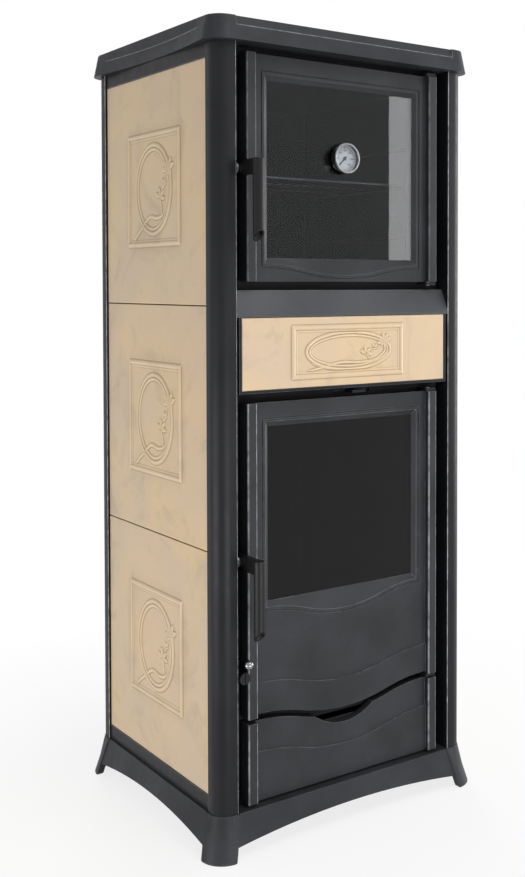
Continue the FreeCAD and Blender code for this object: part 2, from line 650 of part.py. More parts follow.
# Tiles: a plain slab with a moulded frame and an oval ring in relief.
def tile_relief(frame_width, frame_height, ring_width, ring_height):
    """The frame and the ring on a tile's face, standing out along +Z, centred on the origin."""
    bead = mm("frame_bead")
    proud = mm("relief_height")
    corner = Vector(-frame_width / 2, -frame_height / 2, 0)
    frame = Part.makeBox(frame_width, frame_height, proud, corner)
    inset = corner + Vector(bead, bead, 0)
    opening = Part.makeBox(frame_width - 2 * bead, frame_height - 2 * bead, proud, inset)
    discs = []
    for shrink in (0, mm("ring_bead")):
        half_width = ring_width / 2 - shrink
        half_height = ring_height / 2 - shrink
        ellipse = Part.Ellipse(Vector(), max(half_width, half_height), min(half_width, half_height))
        disc = Part.Face(Part.Wire([ellipse.toShape()])).extrude(Vector(0, 0, proud))
        if half_height > half_width:
            disc.rotate(Vector(), Vector(0, 0, 1), 90)
        discs.append(disc)
    return [frame.cut(opening), discs[0].cut(discs[1])]


for name, sign in (("left", -1), ("right", 1)):
    for level, tier in enumerate(("lower", "middle", "upper")):
        y_low, y_high = (mm(edge) for edge in tile_y)
        z_low = mm(f"base_height + rail_lower + {level} * {TILE_PITCH}")
        z_high = z_low + mm(f"{TILE_PITCH} - tile_joint")
        face = sign * mm(TILE_FACE)
        slab = Part.makeBox(mm("tile_thickness"), y_high - y_low, z_high - z_low,
                            Vector(min(face, face - sign * mm("tile_thickness")), y_low, z_low))
        turn = FreeCAD.Rotation(Vector(0, sign, 0), Vector(0, 0, 1), Vector(sign, 0, 0), "XYZ")
        middle = Vector(face, (y_low + y_high) / 2, (z_low + z_high) / 2)
        relief = tile_relief(mm("side_frame_width"), mm("side_frame_height"),
                             mm("side_ring_width"), mm("side_ring_height"))
        for bead in relief:
            bead.Placement = FreeCAD.Placement(middle, turn).multiply(bead.Placement)
        casting(f"side_tile_{name}_{tier}", slab.multiFuse(relief).removeSplitter())

tile_half = mm(f"{OPEN_HALF} - front_tile_margin")
tile_face = mm("front_tile_setback")
slab = Part.makeBox(2 * tile_half, mm("front_tile_thickness"), mm("front_tile_height"),
                    Vector(-tile_half, tile_face, mm(TILE_LOW)))
turn = FreeCAD.Rotation(Vector(1, 0, 0), Vector(0, 0, 1), Vector(0, -1, 0), "XYZ")
middle = Vector(0, tile_face, mm(f"({TILE_LOW} + {TILE_TOP}) / 2"))
relief = tile_relief(mm("front_frame_width"), mm("front_frame_height"),
                     mm("front_ring_width"), mm("front_ring_height"))
for bead in relief:
    bead.Placement = FreeCAD.Placement(middle, turn).multiply(bead.Placement)
casting("front_tile", slab.multiFuse(relief).removeSplitter())

holder_half = f"({OPEN_HALF} - holder_margin)"
tile_edge = f"({OPEN_HALF} - front_tile_margin + glass_clearance)"
tile_back = "(front_tile_setback + front_tile_thickness)"
holder_y = ("front_tile_setback", tile_back)
node(fuse("front_tile_holder",
          box("holder_back", (f"-{holder_half}", holder_half), (tile_back, f"{tile_back} + apron_sheet"),
              (HOLDER_LOW, APRON_LOW)),
          box("holder_lip", (f"-{holder_half}", holder_half), holder_y, (HOLDER_LOW, TILE_LOW)),
          box("holder_left", (f"-{holder_half}", f"-{tile_edge}"), holder_y, (HOLDER_LOW, APRON_LOW)),
          box("holder_right", (tile_edge, holder_half), holder_y, (HOLDER_LOW, APRON_LOW)),
          box("holder_left_foot", (f"-{CAVITY_HALF}", f"-{CAVITY_HALF} + stile_width"),
              (f"{tile_back} + apron_sheet", PLATE_FRONT), (TILE_LOW, PLATE_JOINT)),
          box("holder_right_foot", (f"{CAVITY_HALF} - stile_width", CAVITY_HALF),
              (f"{tile_back} + apron_sheet", PLATE_FRONT), (TILE_LOW, PLATE_JOINT))), "front_tile_holder")


# Apron: one folded sheet, a short upright lip, a slope and a return to the face plate.
def fold(points, thickness, half):
    """A folded sheet across the stove; points give its outer line in (y, z), thickness goes to the back."""
    inner = [(y + thickness, z) for y, z in points[:-1]]
    y, z = points[-1]
    y_bend = points[-2][0]
    inner[-1] = (y_bend + thickness, z - thickness)
    inner.append((y, z - thickness))
    outline = [Vector(-half, y, z) for y, z in points + inner[::-1]]
    return Part.Face(Part.makePolygon(outline + outline[:1])).extrude(Vector(2 * half, 0, 0))


apron_low = mm(APRON_LOW)
apron_top = mm(APRON_TOP)
casting("front_apron", fold([(0, apron_low), (0, apron_low + mm("holder_lip")), (mm("apron_slope"), apron_top),
                             (mm(PLATE_FRONT), apron_top)], mm("apron_sheet"), mm(OPEN_HALF)))

# Oven: a box behind the upper face plate, side racks and a slotted shelf.
muffle_y = (PLATE_BACK, MUFFLE_BACK)
muffle_half = f"({CAVITY_HALF} + muffle_wall)"
node(cut("oven_muffle",
         box("muffle_outer", (f"-{muffle_half}", muffle_half), muffle_y,
             (f"{OVEN_FLOOR} - muffle_wall", f"{OVEN_ROOF} + muffle_wall")),
         box("muffle_inner", (f"-{CAVITY_HALF}", CAVITY_HALF),
             (f"{PLATE_BACK} - muffle_wall", f"{MUFFLE_BACK} - muffle_wall"),
             (OVEN_FLOOR, OVEN_ROOF))), "oven_muffle")
shelf_z = f"({OVEN_FLOOR} + shelf_height)"
rack_y = (f"{PLATE_BACK} + stile_width", f"{MUFFLE_BACK} - 2 * stile_width")
racks = []
for sign in (-1, 1):
    wall_x = sideways(sign, f"{CAVITY_HALF} - rack_thickness", CAVITY_HALF)
    rail_x = sideways(sign, f"{CAVITY_HALF} - rack_thickness - rack_rail", f"{CAVITY_HALF} - rack_thickness")
    ladder = [box("rack_front", wall_x, (rack_y[0], f"{rack_y[0]} + rack_rail"),
                  (OVEN_FLOOR, f"{shelf_z} + shelf_height / 2")),
              box("rack_rear", wall_x, (f"{rack_y[1]} - rack_rail", rack_y[1]),
                  (OVEN_FLOOR, f"{shelf_z} + shelf_height / 2"))]
    for share in (0.4, 1, 1.45):
        rail_top = f"({OVEN_FLOOR} + {share} * shelf_height)"
        rail_low = f"{rail_top} - rack_thickness"
        ladder.append(box("rack_bar", wall_x, rack_y, (rail_low, rail_top)))
        ladder.append(box("rack_rail", rail_x, rack_y, (rail_low, rail_top)))
    racks.append(fuse("oven_rack", *ladder))
node(group("oven_side_racks", *racks), "oven_side_racks")
shelf_half = f"({CAVITY_HALF} - rack_thickness - glass_clearance)"
slots = []
slot_count = int(mm(f"2 * {shelf_half} - shelf_bar") // mm("shelf_pitch"))
for count in range(slot_count):
    slot_left = f"(({count} - {slot_count} / 2) * shelf_pitch + shelf_bar / 2)"
    slots.append(((slot_left, f"{rack_y[0]} + 2 * shelf_bar"),
                  (f"{slot_left} + shelf_pitch - shelf_bar", f"{rack_y[1]} - 2 * shelf_bar")))
node(plate("oven_shelf", "XY", shelf_z, "shelf_thickness",
           ((f"-{shelf_half}", rack_y[0]), (shelf_half, rack_y[1])), slots), "oven_shelf")

# Firebox and smoke way: shell, linings, hearth, baffle, log retainer, ash pan, smoke jacket and flue collar.
shell_in = f"({SHELL_HALF} - shell_wall)"
lining_back = f"({SHELL_BACK} - shell_wall)"
shell_outer = box("shell_outer", (f"-{SHELL_HALF}", SHELL_HALF), (PLATE_BACK, SHELL_BACK),
                  (SHELL_LOW, SHELL_TOP))
shell_inner = box("shell_inner", (f"-{shell_in}", shell_in), (f"{PLATE_BACK} - shell_wall", lining_back),
                  (f"{SHELL_LOW} + shell_wall", f"{SHELL_TOP} - shell_wall"))
smoke_hole = box("smoke_hole", (f"-{CAVITY_HALF}", CAVITY_HALF),
                 (f"{PLATE_BACK} + 2 * stile_width", f"{PLATE_BACK} + baffle_front + 2 * stile_width"),
                 (f"{SHELL_TOP} - 2 * shell_wall", f"{SHELL_TOP} + shell_wall"))
GRATE_FRONT = f"({PLATE_BACK} + grate_setback)"
BAR_FRONT = f"({GRATE_FRONT} + grate_length / 2 - rod_radius)"
BAR_BACK = f"({BAR_FRONT} + 2 * rod_radius)"
bar_slot_y = (f"{BAR_FRONT} - grate_travel - guide_thickness", f"{BAR_BACK} + guide_thickness")
bar_slot = box("bar_slot", (f"-{SHELL_HALF} - shell_wall", f"-{shell_in} + shell_wall"), bar_slot_y,
               (f"{ROD_Z} - grate_thickness", HEARTH_LOW))
shell = cut("shell_hollow", shell_outer, shell_inner, smoke_hole, bar_slot)
ledge_z = (f"{HEARTH_LOW} - guide_thickness", HEARTH_LOW)
ledge_depth = f"({shell_in} - lining_thickness / 2)"
ledge_left_x = (f"-{shell_in}", f"-{ledge_depth}")
ledges = [box("ledge_right", (ledge_depth, shell_in), (PLATE_BACK, lining_back), ledge_z),
          box("ledge_left_front", ledge_left_x, (PLATE_BACK, bar_slot_y[0]), ledge_z),
          box("ledge_left_rear", ledge_left_x, (bar_slot_y[1], lining_back), ledge_z)]
node(fuse("firebox_shell", shell, *ledges), "firebox_shell")

lining_y = (f"{PLATE_BACK} + lining_front_gap", lining_back)
lining_z = (HEARTH_TOP, LINING_TOP)
for name, sign in (("left", -1), ("right", 1)):
    lining = box(f"refractory_{name}", sideways(sign, LINING_IN, shell_in), lining_y, lining_z)
    node(lining, f"refractory_{name}")
node(box("refractory_back", (f"-{LINING_IN}", LINING_IN), (f"{lining_back} - lining_thickness", lining_back),
         lining_z), "refractory_back")
node(box("baffle_plate", (f"-{shell_in}", shell_in), (f"{PLATE_BACK} + baffle_front", lining_back),
         (LINING_TOP, f"{LINING_TOP} + baffle_thickness")), "baffle_plate")
node(box("log_retainer", (f"-{LINING_IN}", LINING_IN),
         (f"{PLATE_BACK} + guide_thickness", f"{PLATE_BACK} + guide_thickness + retainer_thickness"),
         (HEARTH_TOP, f"{HEARTH_TOP} + retainer_height")), "log_retainer")

grate_half = "(grate_width / 2)"
grate_slots = []
slot_count = int(mm("grate_length - 2 * grate_slot") // mm("grate_pitch"))
for count in range(slot_count):
    slot_front = f"({GRATE_FRONT} + grate_slot + {count} * grate_pitch)"
    grate_slots.append(((f"-{grate_half} + grate_slot", slot_front), (f"{grate_half} - grate_slot",
                                                                   f"{slot_front} + grate_slot")))
hearth = plate("hearth_sheet", "XY", HEARTH_LOW, "hearth_thickness",
               ((f"-{shell_in}", PLATE_BACK), (shell_in, lining_back)), grate_slots)
guide_run = (f"{GRATE_FRONT} - grate_travel", f"{GRATE_FRONT} + grate_length")
guide_in = f"({grate_half} + grate_gap)"
guide_out = f"({guide_in} + guide_thickness)"
grate_low = f"({HEARTH_LOW} - 2 * grate_gap - grate_thickness)"
guides = []
for name, side, runs in (("right", "", [guide_run]),
                         ("left", "-", [(guide_run[0], bar_slot_y[0]), (bar_slot_y[1], guide_run[1])])):
    for run in runs:
        upright = (guide_in, guide_out) if not side else (f"-{guide_out}", f"-{guide_in}")
        foot = (f"{grate_half} - guide_thickness", guide_in)
        foot = foot if not side else (f"-{foot[1]}", f"-({foot[0]})")
        guides.append(box("grate_guide", upright, run, (f"{grate_low} - guide_thickness", HEARTH_LOW)))
        guides.append(box("grate_guide_foot", foot, run, (f"{grate_low} - guide_thickness", grate_low)))
node(fuse("hearth_grate", hearth, *guides), "hearth_grate")

pan_half = f"({SHELL_HALF} - ash_pan_side_gap)"
pan_low = f"({SHELL_LOW} + shell_wall)"
pan_in = f"({pan_half} - ash_pan_wall)"
pan_y = (f"{PLATE_BACK} + guide_thickness", f"{lining_back} - lining_thickness")
pan_in_y = (f"{pan_y[0]} + ash_pan_wall", f"{pan_y[1]} - ash_pan_wall")
pan_z = (pan_low, f"{pan_low} + ash_pan_height")
node(group("ash_pan",
           box("pan_floor", (f"-{pan_in}", pan_in), pan_in_y, (pan_low, f"{pan_low} + ash_pan_wall")),
           box("pan_front", (f"-{pan_half}", pan_half), (pan_y[0], pan_in_y[0]), pan_z),
           box("pan_back", (f"-{pan_half}", pan_half), (pan_in_y[1], pan_y[1]), pan_z),
           box("pan_left", (f"-{pan_half}", f"-{pan_in}"), pan_in_y, pan_z),
           box("pan_right", (pan_in, pan_half), pan_in_y, pan_z)), "ash_pan")

jacket_top = f"({BODY_TOP} - 3 * jacket_wall)"
jacket_in = f"({SHELL_HALF} - jacket_wall)"
node(cut("smoke_jacket",
         box("jacket_outer", (f"-{SHELL_HALF}", SHELL_HALF), (PLATE_BACK, SHELL_BACK), (SHELL_TOP, jacket_top)),
         box("jacket_inner", (f"-{jacket_in}", jacket_in),
             (f"{PLATE_BACK} - jacket_wall", f"{SHELL_BACK} - jacket_wall"),
             (f"{SHELL_TOP} - jacket_wall", f"{jacket_top} - jacket_wall")),
         rod("jacket_outlet", "y", "collar_radius - collar_wall",
             ("0", f"{SHELL_BACK} - 2 * jacket_wall", COLLAR_Z), "4 * jacket_wall")), "smoke_jacket")
collar_length = f"(body_depth + collar_reach - {SHELL_BACK})"
node(cut("flue_collar",
         fuse("collar_outer",
              rod("collar_tube", "y", "collar_radius", ("0", SHELL_BACK, COLLAR_Z), collar_length),
              rod("collar_plate", "y", "collar_flange", ("0", SHELL_BACK, COLLAR_Z), "2 * jacket_wall")),
         rod("collar_bore", "y", "collar_radius - collar_wall", ("0", f"{SHELL_BACK} - jacket_wall", COLLAR_Z),
             f"{collar_length} + 2 * jacket_wall")), "flue_collar")

# Fixed fittings: drawer runners, hinge lugs and the keepers of the two handles.
runners = [box("runner", span, (PLATE_BACK, f"{PLATE_BACK} + drawer_depth"), ("base_height", drawer_floor))
           for span in ((f"-{drawer_half}", f"-{drawer_half} + runner_width"),
                        (f"{drawer_half} - runner_width", drawer_half))]
node(group("drawer_runners", *runners), "drawer_runners")


def hinge_lug(name, low):
    lug = box(f"{name}_plate", (f"{HINGE_X} - lug_width / 2", f"{HINGE_X} + lug_width / 2"),
              (f"{HINGE_Y} - lug_width / 2", PLATE_FRONT), (low, f"{low} + lug_thickness"))
    bore = rod(f"{name}_bore", "z", "pin_radius + running_clearance",
               (HINGE_X, HINGE_Y, f"{low} - lug_thickness"), "3 * lug_thickness")
    return cut(name, lug, bore)


lugs = []
for name, door_low, door_top in (("fire", FIRE_LOW, FIRE_TOP), ("oven", OVEN_LOW, OVEN_TOP)):
    lugs.append(hinge_lug(f"{name}_lug_low", f"({door_low} - lug_gap - lug_thickness)"))
    lugs.append(hinge_lug(f"{name}_lug_top", f"({door_top} + lug_gap)"))
node(group("hinge_lugs", *lugs), "hinge_lugs")

ARM_X = f"(-{DOOR_HALF} - arm_gap - arm_thickness)"
OVEN_PIVOT = f"({OVEN_LOW} + oven_handle_height)"
FIRE_PIVOT = f"({FIRE_LOW} + fire_handle_height)"
keepers = [box("keeper", (ARM_X, f"{ARM_X} + arm_thickness"),
               (f"{HINGE_Y} + arm_height / 2 + keeper_gap", PLATE_FRONT),
               (f"{pivot} - arm_height / 2", f"{pivot} + arm_height / 2"))
           for pivot in (FIRE_PIVOT, OVEN_PIVOT)]
node(group("latch_keepers", *keepers), "latch_keepers")


# Doors: a cast panel between two raised stiles, with a bevelled window and waved lines.
def wave(left, right, end_z, dip, y):
    """Four equal arcs from end to end, level at both ends and at the bottom of the dip."""
    middle = (left + right) / 2
    reach = middle - left
    stations = [(left, end_z), (left + reach / 2, end_z - dip / 2), (middle, end_z - dip),
                (right - reach / 2, end_z - dip / 2), (right, end_z)]
    if not dip:
        return [Part.LineSegment(Vector(x0, y, z0), Vector(x1, y, z1)).toShape()
                for (x0, z0), (x1, z1) in zip(stations, stations[1:])]
    turn = math.atan2(dip, reach)
    bend = (reach ** 2 + dip ** 2) / (4 * dip)
    over = bend * math.sin(turn)
    drop = bend * (1 - math.cos(turn))
    between = [(left + over, end_z - drop), (middle - over, end_z - dip + drop),
               (middle + over, end_z - dip + drop), (right - over, end_z - drop)]
    return [Part.Arc(Vector(x0, y, z0), Vector(xm, y, zm), Vector(x1, y, z1)).toShape()
            for (x0, z0), (xm, zm), (x1, z1) in zip(stations, between, stations[1:])]


def waved_wire(half, low, low_dip, top, top_dip, y):
    """A closed outline, its foot and head waved or straight, its sides upright."""
    head = wave(-half, half, top, top_dip, y)
    sides = [Part.LineSegment(Vector(half, y, low), Vector(half, y, top)).toShape(),
             Part.LineSegment(Vector(-half, y, top), Vector(-half, y, low)).toShape()]
    return Part.Wire(Part.__sortEdges__(wave(-half, half, low, low_dip, y) + sides[:1] + head + sides[1:]))


def slab_between(wire, thickness):
    return Part.Face(wire).extrude(Vector(0, thickness, 0))


def stiles(low, top, back):
    """The two raised stiles, their long front edges rounded."""
    front = mm("stile_setback")
    pieces = []
    for left in (mm(f"-{DOOR_HALF}"), mm(PANEL_HALF)):
        bar = Part.makeBox(mm("stile_width"), back - front, top - low, Vector(left, front, low))
        long_edges = [edge for edge in bar.Edges
                      if edge.BoundBox.YMax < front + 1e-6 and edge.BoundBox.ZLength > 1]
        pieces.append(bar.makeFillet(mm("edge_round"), long_edges))
    return pieces


def window_cutters(low, top, dip):
    """Groove, bevel and glass seats of a window between two heights."""
    face = mm("panel_setback")
    groove_half = mm(f"{PANEL_HALF} - groove_margin")
    groove_low = low - mm("groove_below")
    groove_top = top + mm("window_drop - groove_drop")
    width = mm("groove_width")
    lip = width + mm("lip_width")
    outer = slab_between(waved_wire(groove_half, groove_low, dip, groove_top, 0, face), mm("groove_depth"))
    core = slab_between(waved_wire(groove_half - width, groove_low + width, dip, groove_top - width, 0, face),
                        mm("groove_depth"))
    inner = mm(WINDOW_HALF)
    bevel = Part.makeLoft([
        waved_wire(groove_half - lip, groove_low + lip, dip, groove_top - lip, 0, face),
        waved_wire(inner, low, 0, top, 0, mm(GLASS_FRONT))], True, True)
    seat_half = mm(f"{GLASS_HALF} + glass_clearance")
    lap = seat_half - inner
    seat = Part.makeBox(2 * seat_half, mm(DOOR_BACK), top - low + 2 * lap,
                        Vector(-seat_half, mm(GLASS_FRONT), low - lap))
    ledge_half = mm(LEDGE_HALF)
    ledge = ledge_half - inner
    recess = Part.makeBox(2 * ledge_half, mm(DOOR_BACK), top - low + 2 * ledge,
                          Vector(-ledge_half, mm(GLASS_BACK), low - ledge))
    return [outer.cut(core), bevel, seat, recess]


def pin_bores(low, top, pivot):
    """Blind bores for the two hinge pins and the handle pivot."""
    grow = mm("pin_radius + running_clearance")
    deep = mm("pin_depth")
    bores = [Part.makeCylinder(grow, deep, Vector(mm(HINGE_X), mm(HINGE_Y), z)) for z in (low, top - deep)]
    bores.append(Part.makeCylinder(mm("pivot_radius + running_clearance"), mm("pivot_depth"),
                                   Vector(mm(f"-{DOOR_HALF}"), mm(HINGE_Y), pivot), Vector(1, 0, 0)))
    return bores


def door_fittings(name, low, top, window_low, window_top, gasket_low, gasket_top, pivot):
    """The glass, its clips, the gasket and the pins of one door."""
    node(plate(f"{name}_door_glass", "XZ", GLASS_FRONT, "glass_thickness",
               ((f"-{GLASS_HALF}", f"{window_low} - glass_lap"), (GLASS_HALF, f"{window_top} + glass_lap")),
               round_holes=[(("0", CASE_Z), "stem_radius + side_gap")] if name == "oven" else ()),
         f"{name}_door_glass")
    clip_y = (GLASS_BACK, f"{GLASS_BACK} + clip_thickness")
    clip_levels = (f"{window_low} + clip_length", f"({window_low} + {window_top} - clip_length) / 2",
                   f"{window_top} - 2 * clip_length")
    clips = []
    for side in ("-", ""):
        span = (f"{GLASS_HALF} - glass_lap / 2", f"{LEDGE_HALF} - glass_clearance")
        span = span if not side else (f"-({span[1]})", f"-({span[0]})")
        clips += [box("clip", span, clip_y, (level, f"{level} + clip_length")) for level in clip_levels]
    node(group(f"{name}_glass_clips", *clips), f"{name}_glass_clips")
    inner = f"({LEDGE_HALF} + glass_clearance)"
    outer = f"({inner} + gasket_width)"
    node(plate(f"{name}_door_gasket", "XZ", DOOR_BACK, "gasket_thickness",
               ((f"-{outer}", f"{gasket_low} - gasket_width"), (outer, f"{gasket_top} + gasket_width")),
               [((f"-{inner}", gasket_low), (inner, gasket_top))]), f"{name}_door_gasket")
    reach = "pin_depth + lug_gap + lug_thickness + pin_radius / 4"
    pins = [rod("hinge_pin", "z", "pin_radius", (HINGE_X, HINGE_Y, f"{top} - pin_depth"), reach),
            rod("hinge_pin", "z", "pin_radius", (HINGE_X, HINGE_Y, f"{low} + pin_depth - ({reach})"), reach)]
    head_x = f"{ARM_X} - side_gap - guide_thickness"
    pivot_pin = fuse(f"{name}_pivot",
                     rod("pivot_pin", "x", "pivot_radius", (head_x, HINGE_Y, pivot),
                         f"-{DOOR_HALF} + pivot_depth - ({head_x})"),
                     rod("pivot_head", "x", "pivot_head", (head_x, HINGE_Y, pivot), "guide_thickness"),
                     rod("pivot_washer", "x", "washer_radius",
                         (f"-{DOOR_HALF} - arm_gap + side_gap", HINGE_Y, pivot), "arm_gap - side_gap"))
    node(group(f"{name}_door_pins", *pins, pivot_pin), f"{name}_door_pins")


def handle(label, pivot):
    """A flat arm forward from its pivot, and a round grip down from its end, cut slantwise and open below."""
    x_low = mm(ARM_X)
    thick = mm("arm_thickness")
    tall = mm("arm_height")
    axis_y = mm(HINGE_Y)
    grip_y = -mm("grip_reach")
    grip = mm("grip_radius")
    arm = Part.makeBox(thick, axis_y - grip_y, tall, Vector(x_low, grip_y, pivot - tall / 2))
    eye = Part.makeCylinder(tall / 2, thick, Vector(x_low, axis_y, pivot), Vector(1, 0, 0))
    middle_x = x_low + thick / 2
    low = pivot - mm("grip_length") - grip
    top = pivot + tall / 2
    stem = Part.makeCylinder(grip, top - low, Vector(middle_x, grip_y, low))
    head_edges = [edge for edge in stem.Edges if edge.BoundBox.ZMin > top - 1e-6]
    stem = stem.makeFillet(mm("edge_round"), head_edges)
    slant = Part.makeBox(4 * grip, 8 * grip, 8 * grip, Vector(-2 * grip, -4 * grip, -8 * grip))
    slant.rotate(Vector(), Vector(1, 0, 0), -45)
    slant.translate(Vector(middle_x, grip_y, pivot - mm("grip_length")))
    bore = Part.makeCylinder(mm("grip_bore"), 4 * grip, Vector(middle_x, grip_y, low))
    eye_bore = Part.makeCylinder(mm("pivot_radius + running_clearance"), 3 * thick,
                                 Vector(x_low - thick, axis_y, pivot), Vector(1, 0, 0))
    shape = arm.multiFuse([eye, stem]).cut(slant).cut(bore).cut(eye_bore).removeSplitter()
    casting(label, shape)


back = mm(DOOR_BACK)
face = mm("panel_setback")
panel_half = mm(PANEL_HALF)
thickness = back - face

oven_low = mm(OVEN_LOW)
oven_top = mm(OVEN_TOP)
oven_window = (f"({OVEN_LOW} + window_rise)", f"({OVEN_TOP} - window_drop)")
panel = slab_between(waved_wire(panel_half, oven_low, 0, oven_top, 0, face), thickness)
oven_cast = panel.multiFuse(stiles(oven_low, oven_top, back))
oven_cutters = window_cutters(mm(oven_window[0]), mm(oven_window[1]), mm("oven_dip"))
for cutter in oven_cutters + pin_bores(oven_low, oven_top, mm(OVEN_PIVOT)):
    oven_cast = oven_cast.cut(cutter)
casting("oven_door_frame", oven_cast.removeSplitter())
door_fittings("oven", OVEN_LOW, OVEN_TOP, *oven_window,
              f"({oven_window[0]} - glass_lap - clip_ledge - glass_clearance)",
              f"({oven_window[1]} + glass_lap + clip_ledge + glass_clearance)", OVEN_PIVOT)
handle("oven_door_handle", mm(OVEN_PIVOT))

fire_low = mm(FIRE_LOW)
fire_top = mm(FIRE_TOP)
fire_foot = fire_low + mm("wave_lift")
dip = mm("wave_dip")
fire_window = (f"({FIRE_LOW} + fire_window_rise)", f"({FIRE_TOP} - window_drop)")
relief = mm("relief_step")
panel = slab_between(waved_wire(panel_half, fire_foot, dip, fire_top, 0, face), thickness)
band_top = fire_foot + mm("band_height")
lower_band = slab_between(waved_wire(panel_half, fire_foot, dip, band_top, dip, face - relief), relief)
fire_cast = panel.multiFuse(stiles(fire_low, fire_top, back) + [lower_band])
fire_cutters = window_cutters(mm(fire_window[0]), mm(fire_window[1]), dip)
for cutter in fire_cutters + pin_bores(fire_low, fire_top, mm(FIRE_PIVOT)):
    fire_cast = fire_cast.cut(cutter)
casting("fire_door_frame", fire_cast.removeSplitter())
door_fittings("fire", FIRE_LOW, FIRE_TOP, *fire_window,
              f"({FIRE_LOW} + fire_cavity_rise - glass_clearance)",
              f"({fire_window[1]} + glass_lap + clip_ledge + glass_clearance)", FIRE_PIVOT)
handle("fire_door_handle", mm(FIRE_PIVOT))

# Drawer: a waved front with a finger scoop, and a sheet box on the runners.
drawer_low = mm(DRAWER_LOW)
drawer_top = mm(DRAWER_TOP)
front_back = mm("drawer_back")
panel = slab_between(waved_wire(panel_half, drawer_low, 0, drawer_top, dip, face), front_back - face)
band_top = drawer_low + mm("drawer_band")
lower_band = slab_between(waved_wire(panel_half, drawer_low, 0, band_top, dip, face - relief), relief)
sag = mm("scoop_depth")
scoop_radius = (mm("scoop_width / 2") ** 2 + sag ** 2) / (2 * sag)
scoop_low = drawer_top - dip - mm("scoop_depth - relief_step * 2")
scoop_centre = Vector(0, face - relief, scoop_low + scoop_radius)
scoop = Part.makeCylinder(scoop_radius, front_back, scoop_centre, Vector(0, 1, 0))
drawer_cast = panel.multiFuse(stiles(drawer_low, drawer_top, front_back) + [lower_band]).cut(scoop)
casting("drawer_front", drawer_cast.removeSplitter())
box_y = ("drawer_back", "drawer_back + drawer_depth")
node(cut("drawer_box",
         box("drawer_outer", (f"-{drawer_half}", drawer_half), box_y,
             (drawer_floor, f"{drawer_floor} + drawer_side")),
         box("drawer_inner", (f"-{drawer_half} + drawer_wall", f"{drawer_half} - drawer_wall"),
             (f"{box_y[0]} + drawer_wall", f"{box_y[1]} - drawer_wall"),
             (f"{drawer_floor} + drawer_wall", f"{drawer_floor} + 2 * drawer_side"))), "drawer_box")

# Shaker: a knob and rod beside the fire door, joined by a cross bar to the sliding grate.
knob = doc.addObject("Part::Sphere", "shaker_ball")
knob.setExpression("Radius", bound("knob_radius"))
place(knob, RECESS_X, "-knob_reach", ROD_Z)
shaker_bar = rod("shaker_bar", "y", "rod_radius", (RECESS_X, "-knob_reach", ROD_Z), f"knob_reach + {BAR_BACK}")
node(fuse("shaker_rod", knob, shaker_bar), "shaker_rod")
grate_outline = ((f"-{grate_half}", GRATE_FRONT), (grate_half, f"{GRATE_FRONT} + grate_length"))
grate_sheet = plate("grate_sheet", "XY", f"{HEARTH_LOW} - grate_gap - grate_thickness", "grate_thickness",
                    grate_outline, grate_slots)
cross_bar = box("cross_bar", (f"{RECESS_X} + rod_radius / 2", f"-{grate_half}"), (BAR_FRONT, BAR_BACK),
                (f"{ROD_Z} - rod_radius", f"{ROD_Z} + rod_radius"))
rod_room = rod("rod_room", "y", "rod_radius + running_clearance",
               (RECESS_X, f"{BAR_FRONT} - grate_travel", ROD_Z), "2 * grate_travel")
node(cut("shaker_grate", fuse("grate_and_bar", grate_sheet, cross_bar), rod_room), "shaker_grate")

# Air controls: a dial whose shaft turns a shutter, and a lever on a slider behind the face plate.
shaft_length = f"(dial_reach + {PLATE_BACK} + grate_gap + shutter_thickness)"
shutter_y = f"{PLATE_BACK} + grate_gap"
dial = fuse("air_dial",
            rod("dial_knob", "y", "dial_radius", (RECESS_X, "-dial_reach", DIAL_Z), "dial_thickness"),
            rod("dial_shaft", "y", "rod_radius", (RECESS_X, "-dial_reach", DIAL_Z), shaft_length),
            rod("dial_shutter", "y", "shutter_radius", (RECESS_X, shutter_y, DIAL_Z), "shutter_thickness"))
hole_y = f"{shutter_y} - shutter_thickness"
shutter_holes = [rod("shutter_hole", "y", "vent_radius", (RECESS_X, hole_y, f"{DIAL_Z} {sign} {vent_step}"),
                     "3 * shutter_thickness") for sign in ("+", "-")]
node(cut("primary_air_dial", dial, *shutter_holes), "primary_air_dial")

lever_x = ("lever_offset - lever_width / 2", "lever_offset + lever_width / 2")
slider_y = (f"{PLATE_BACK} + grate_gap", f"{PLATE_BACK} + grate_gap + shutter_thickness")
node(fuse("secondary_air_lever",
          box("lever_tab", lever_x, (f"{PLATE_FRONT} - lever_reach", slider_y[0]), (lever_low, lever_high)),
          box("lever_slider", ("lever_offset - slider_length / 2", "lever_offset + slider_length / 2"),
              slider_y, (f"{LEVER_Z} - slider_height / 2", f"{LEVER_Z} + slider_height / 2"))),
     "secondary_air_lever")


# Thermometer: a cup on a stem through the oven glass, with a dial plate, needle and lens.
def disc(radius, front, thickness):
    return Part.makeCylinder(radius, thickness, Vector(0, front, mm(CASE_Z)), Vector(0, 1, 0))


case_front = mm(CASE_FRONT)
case_back = mm(CASE_BACK)
case_radius = mm("case_radius")
case_wall = mm("case_wall")
glass_front = mm(GLASS_FRONT)
glass_back = mm(GLASS_BACK)
stem_radius = mm("stem_radius")
lens_front = case_front + case_wall
lens_thick = mm("lens_thickness")
lens_radius = case_radius - case_wall
dial_front = case_back - case_wall - mm("dial_plate")
cup = disc(case_radius, case_front, case_back - case_front)
cup = cup.cut(disc(lens_radius, lens_front, case_back - case_wall - lens_front))
cup = cup.cut(disc(lens_radius - case_wall, case_front, case_wall))
washer = disc(mm("washer_radius"), case_back, glass_front - case_back)
stem = disc(stem_radius, case_back, glass_back - case_back + mm("stem_length"))
nut = disc(mm("washer_radius"), glass_back, mm("plate_thickness"))
casting("thermometer_case", cup.multiFuse([washer, stem, nut]).removeSplitter())
casting("thermometer_lens", disc(lens_radius, lens_front, lens_thick))
needle_back = dial_front - mm("needle_thickness") / 2
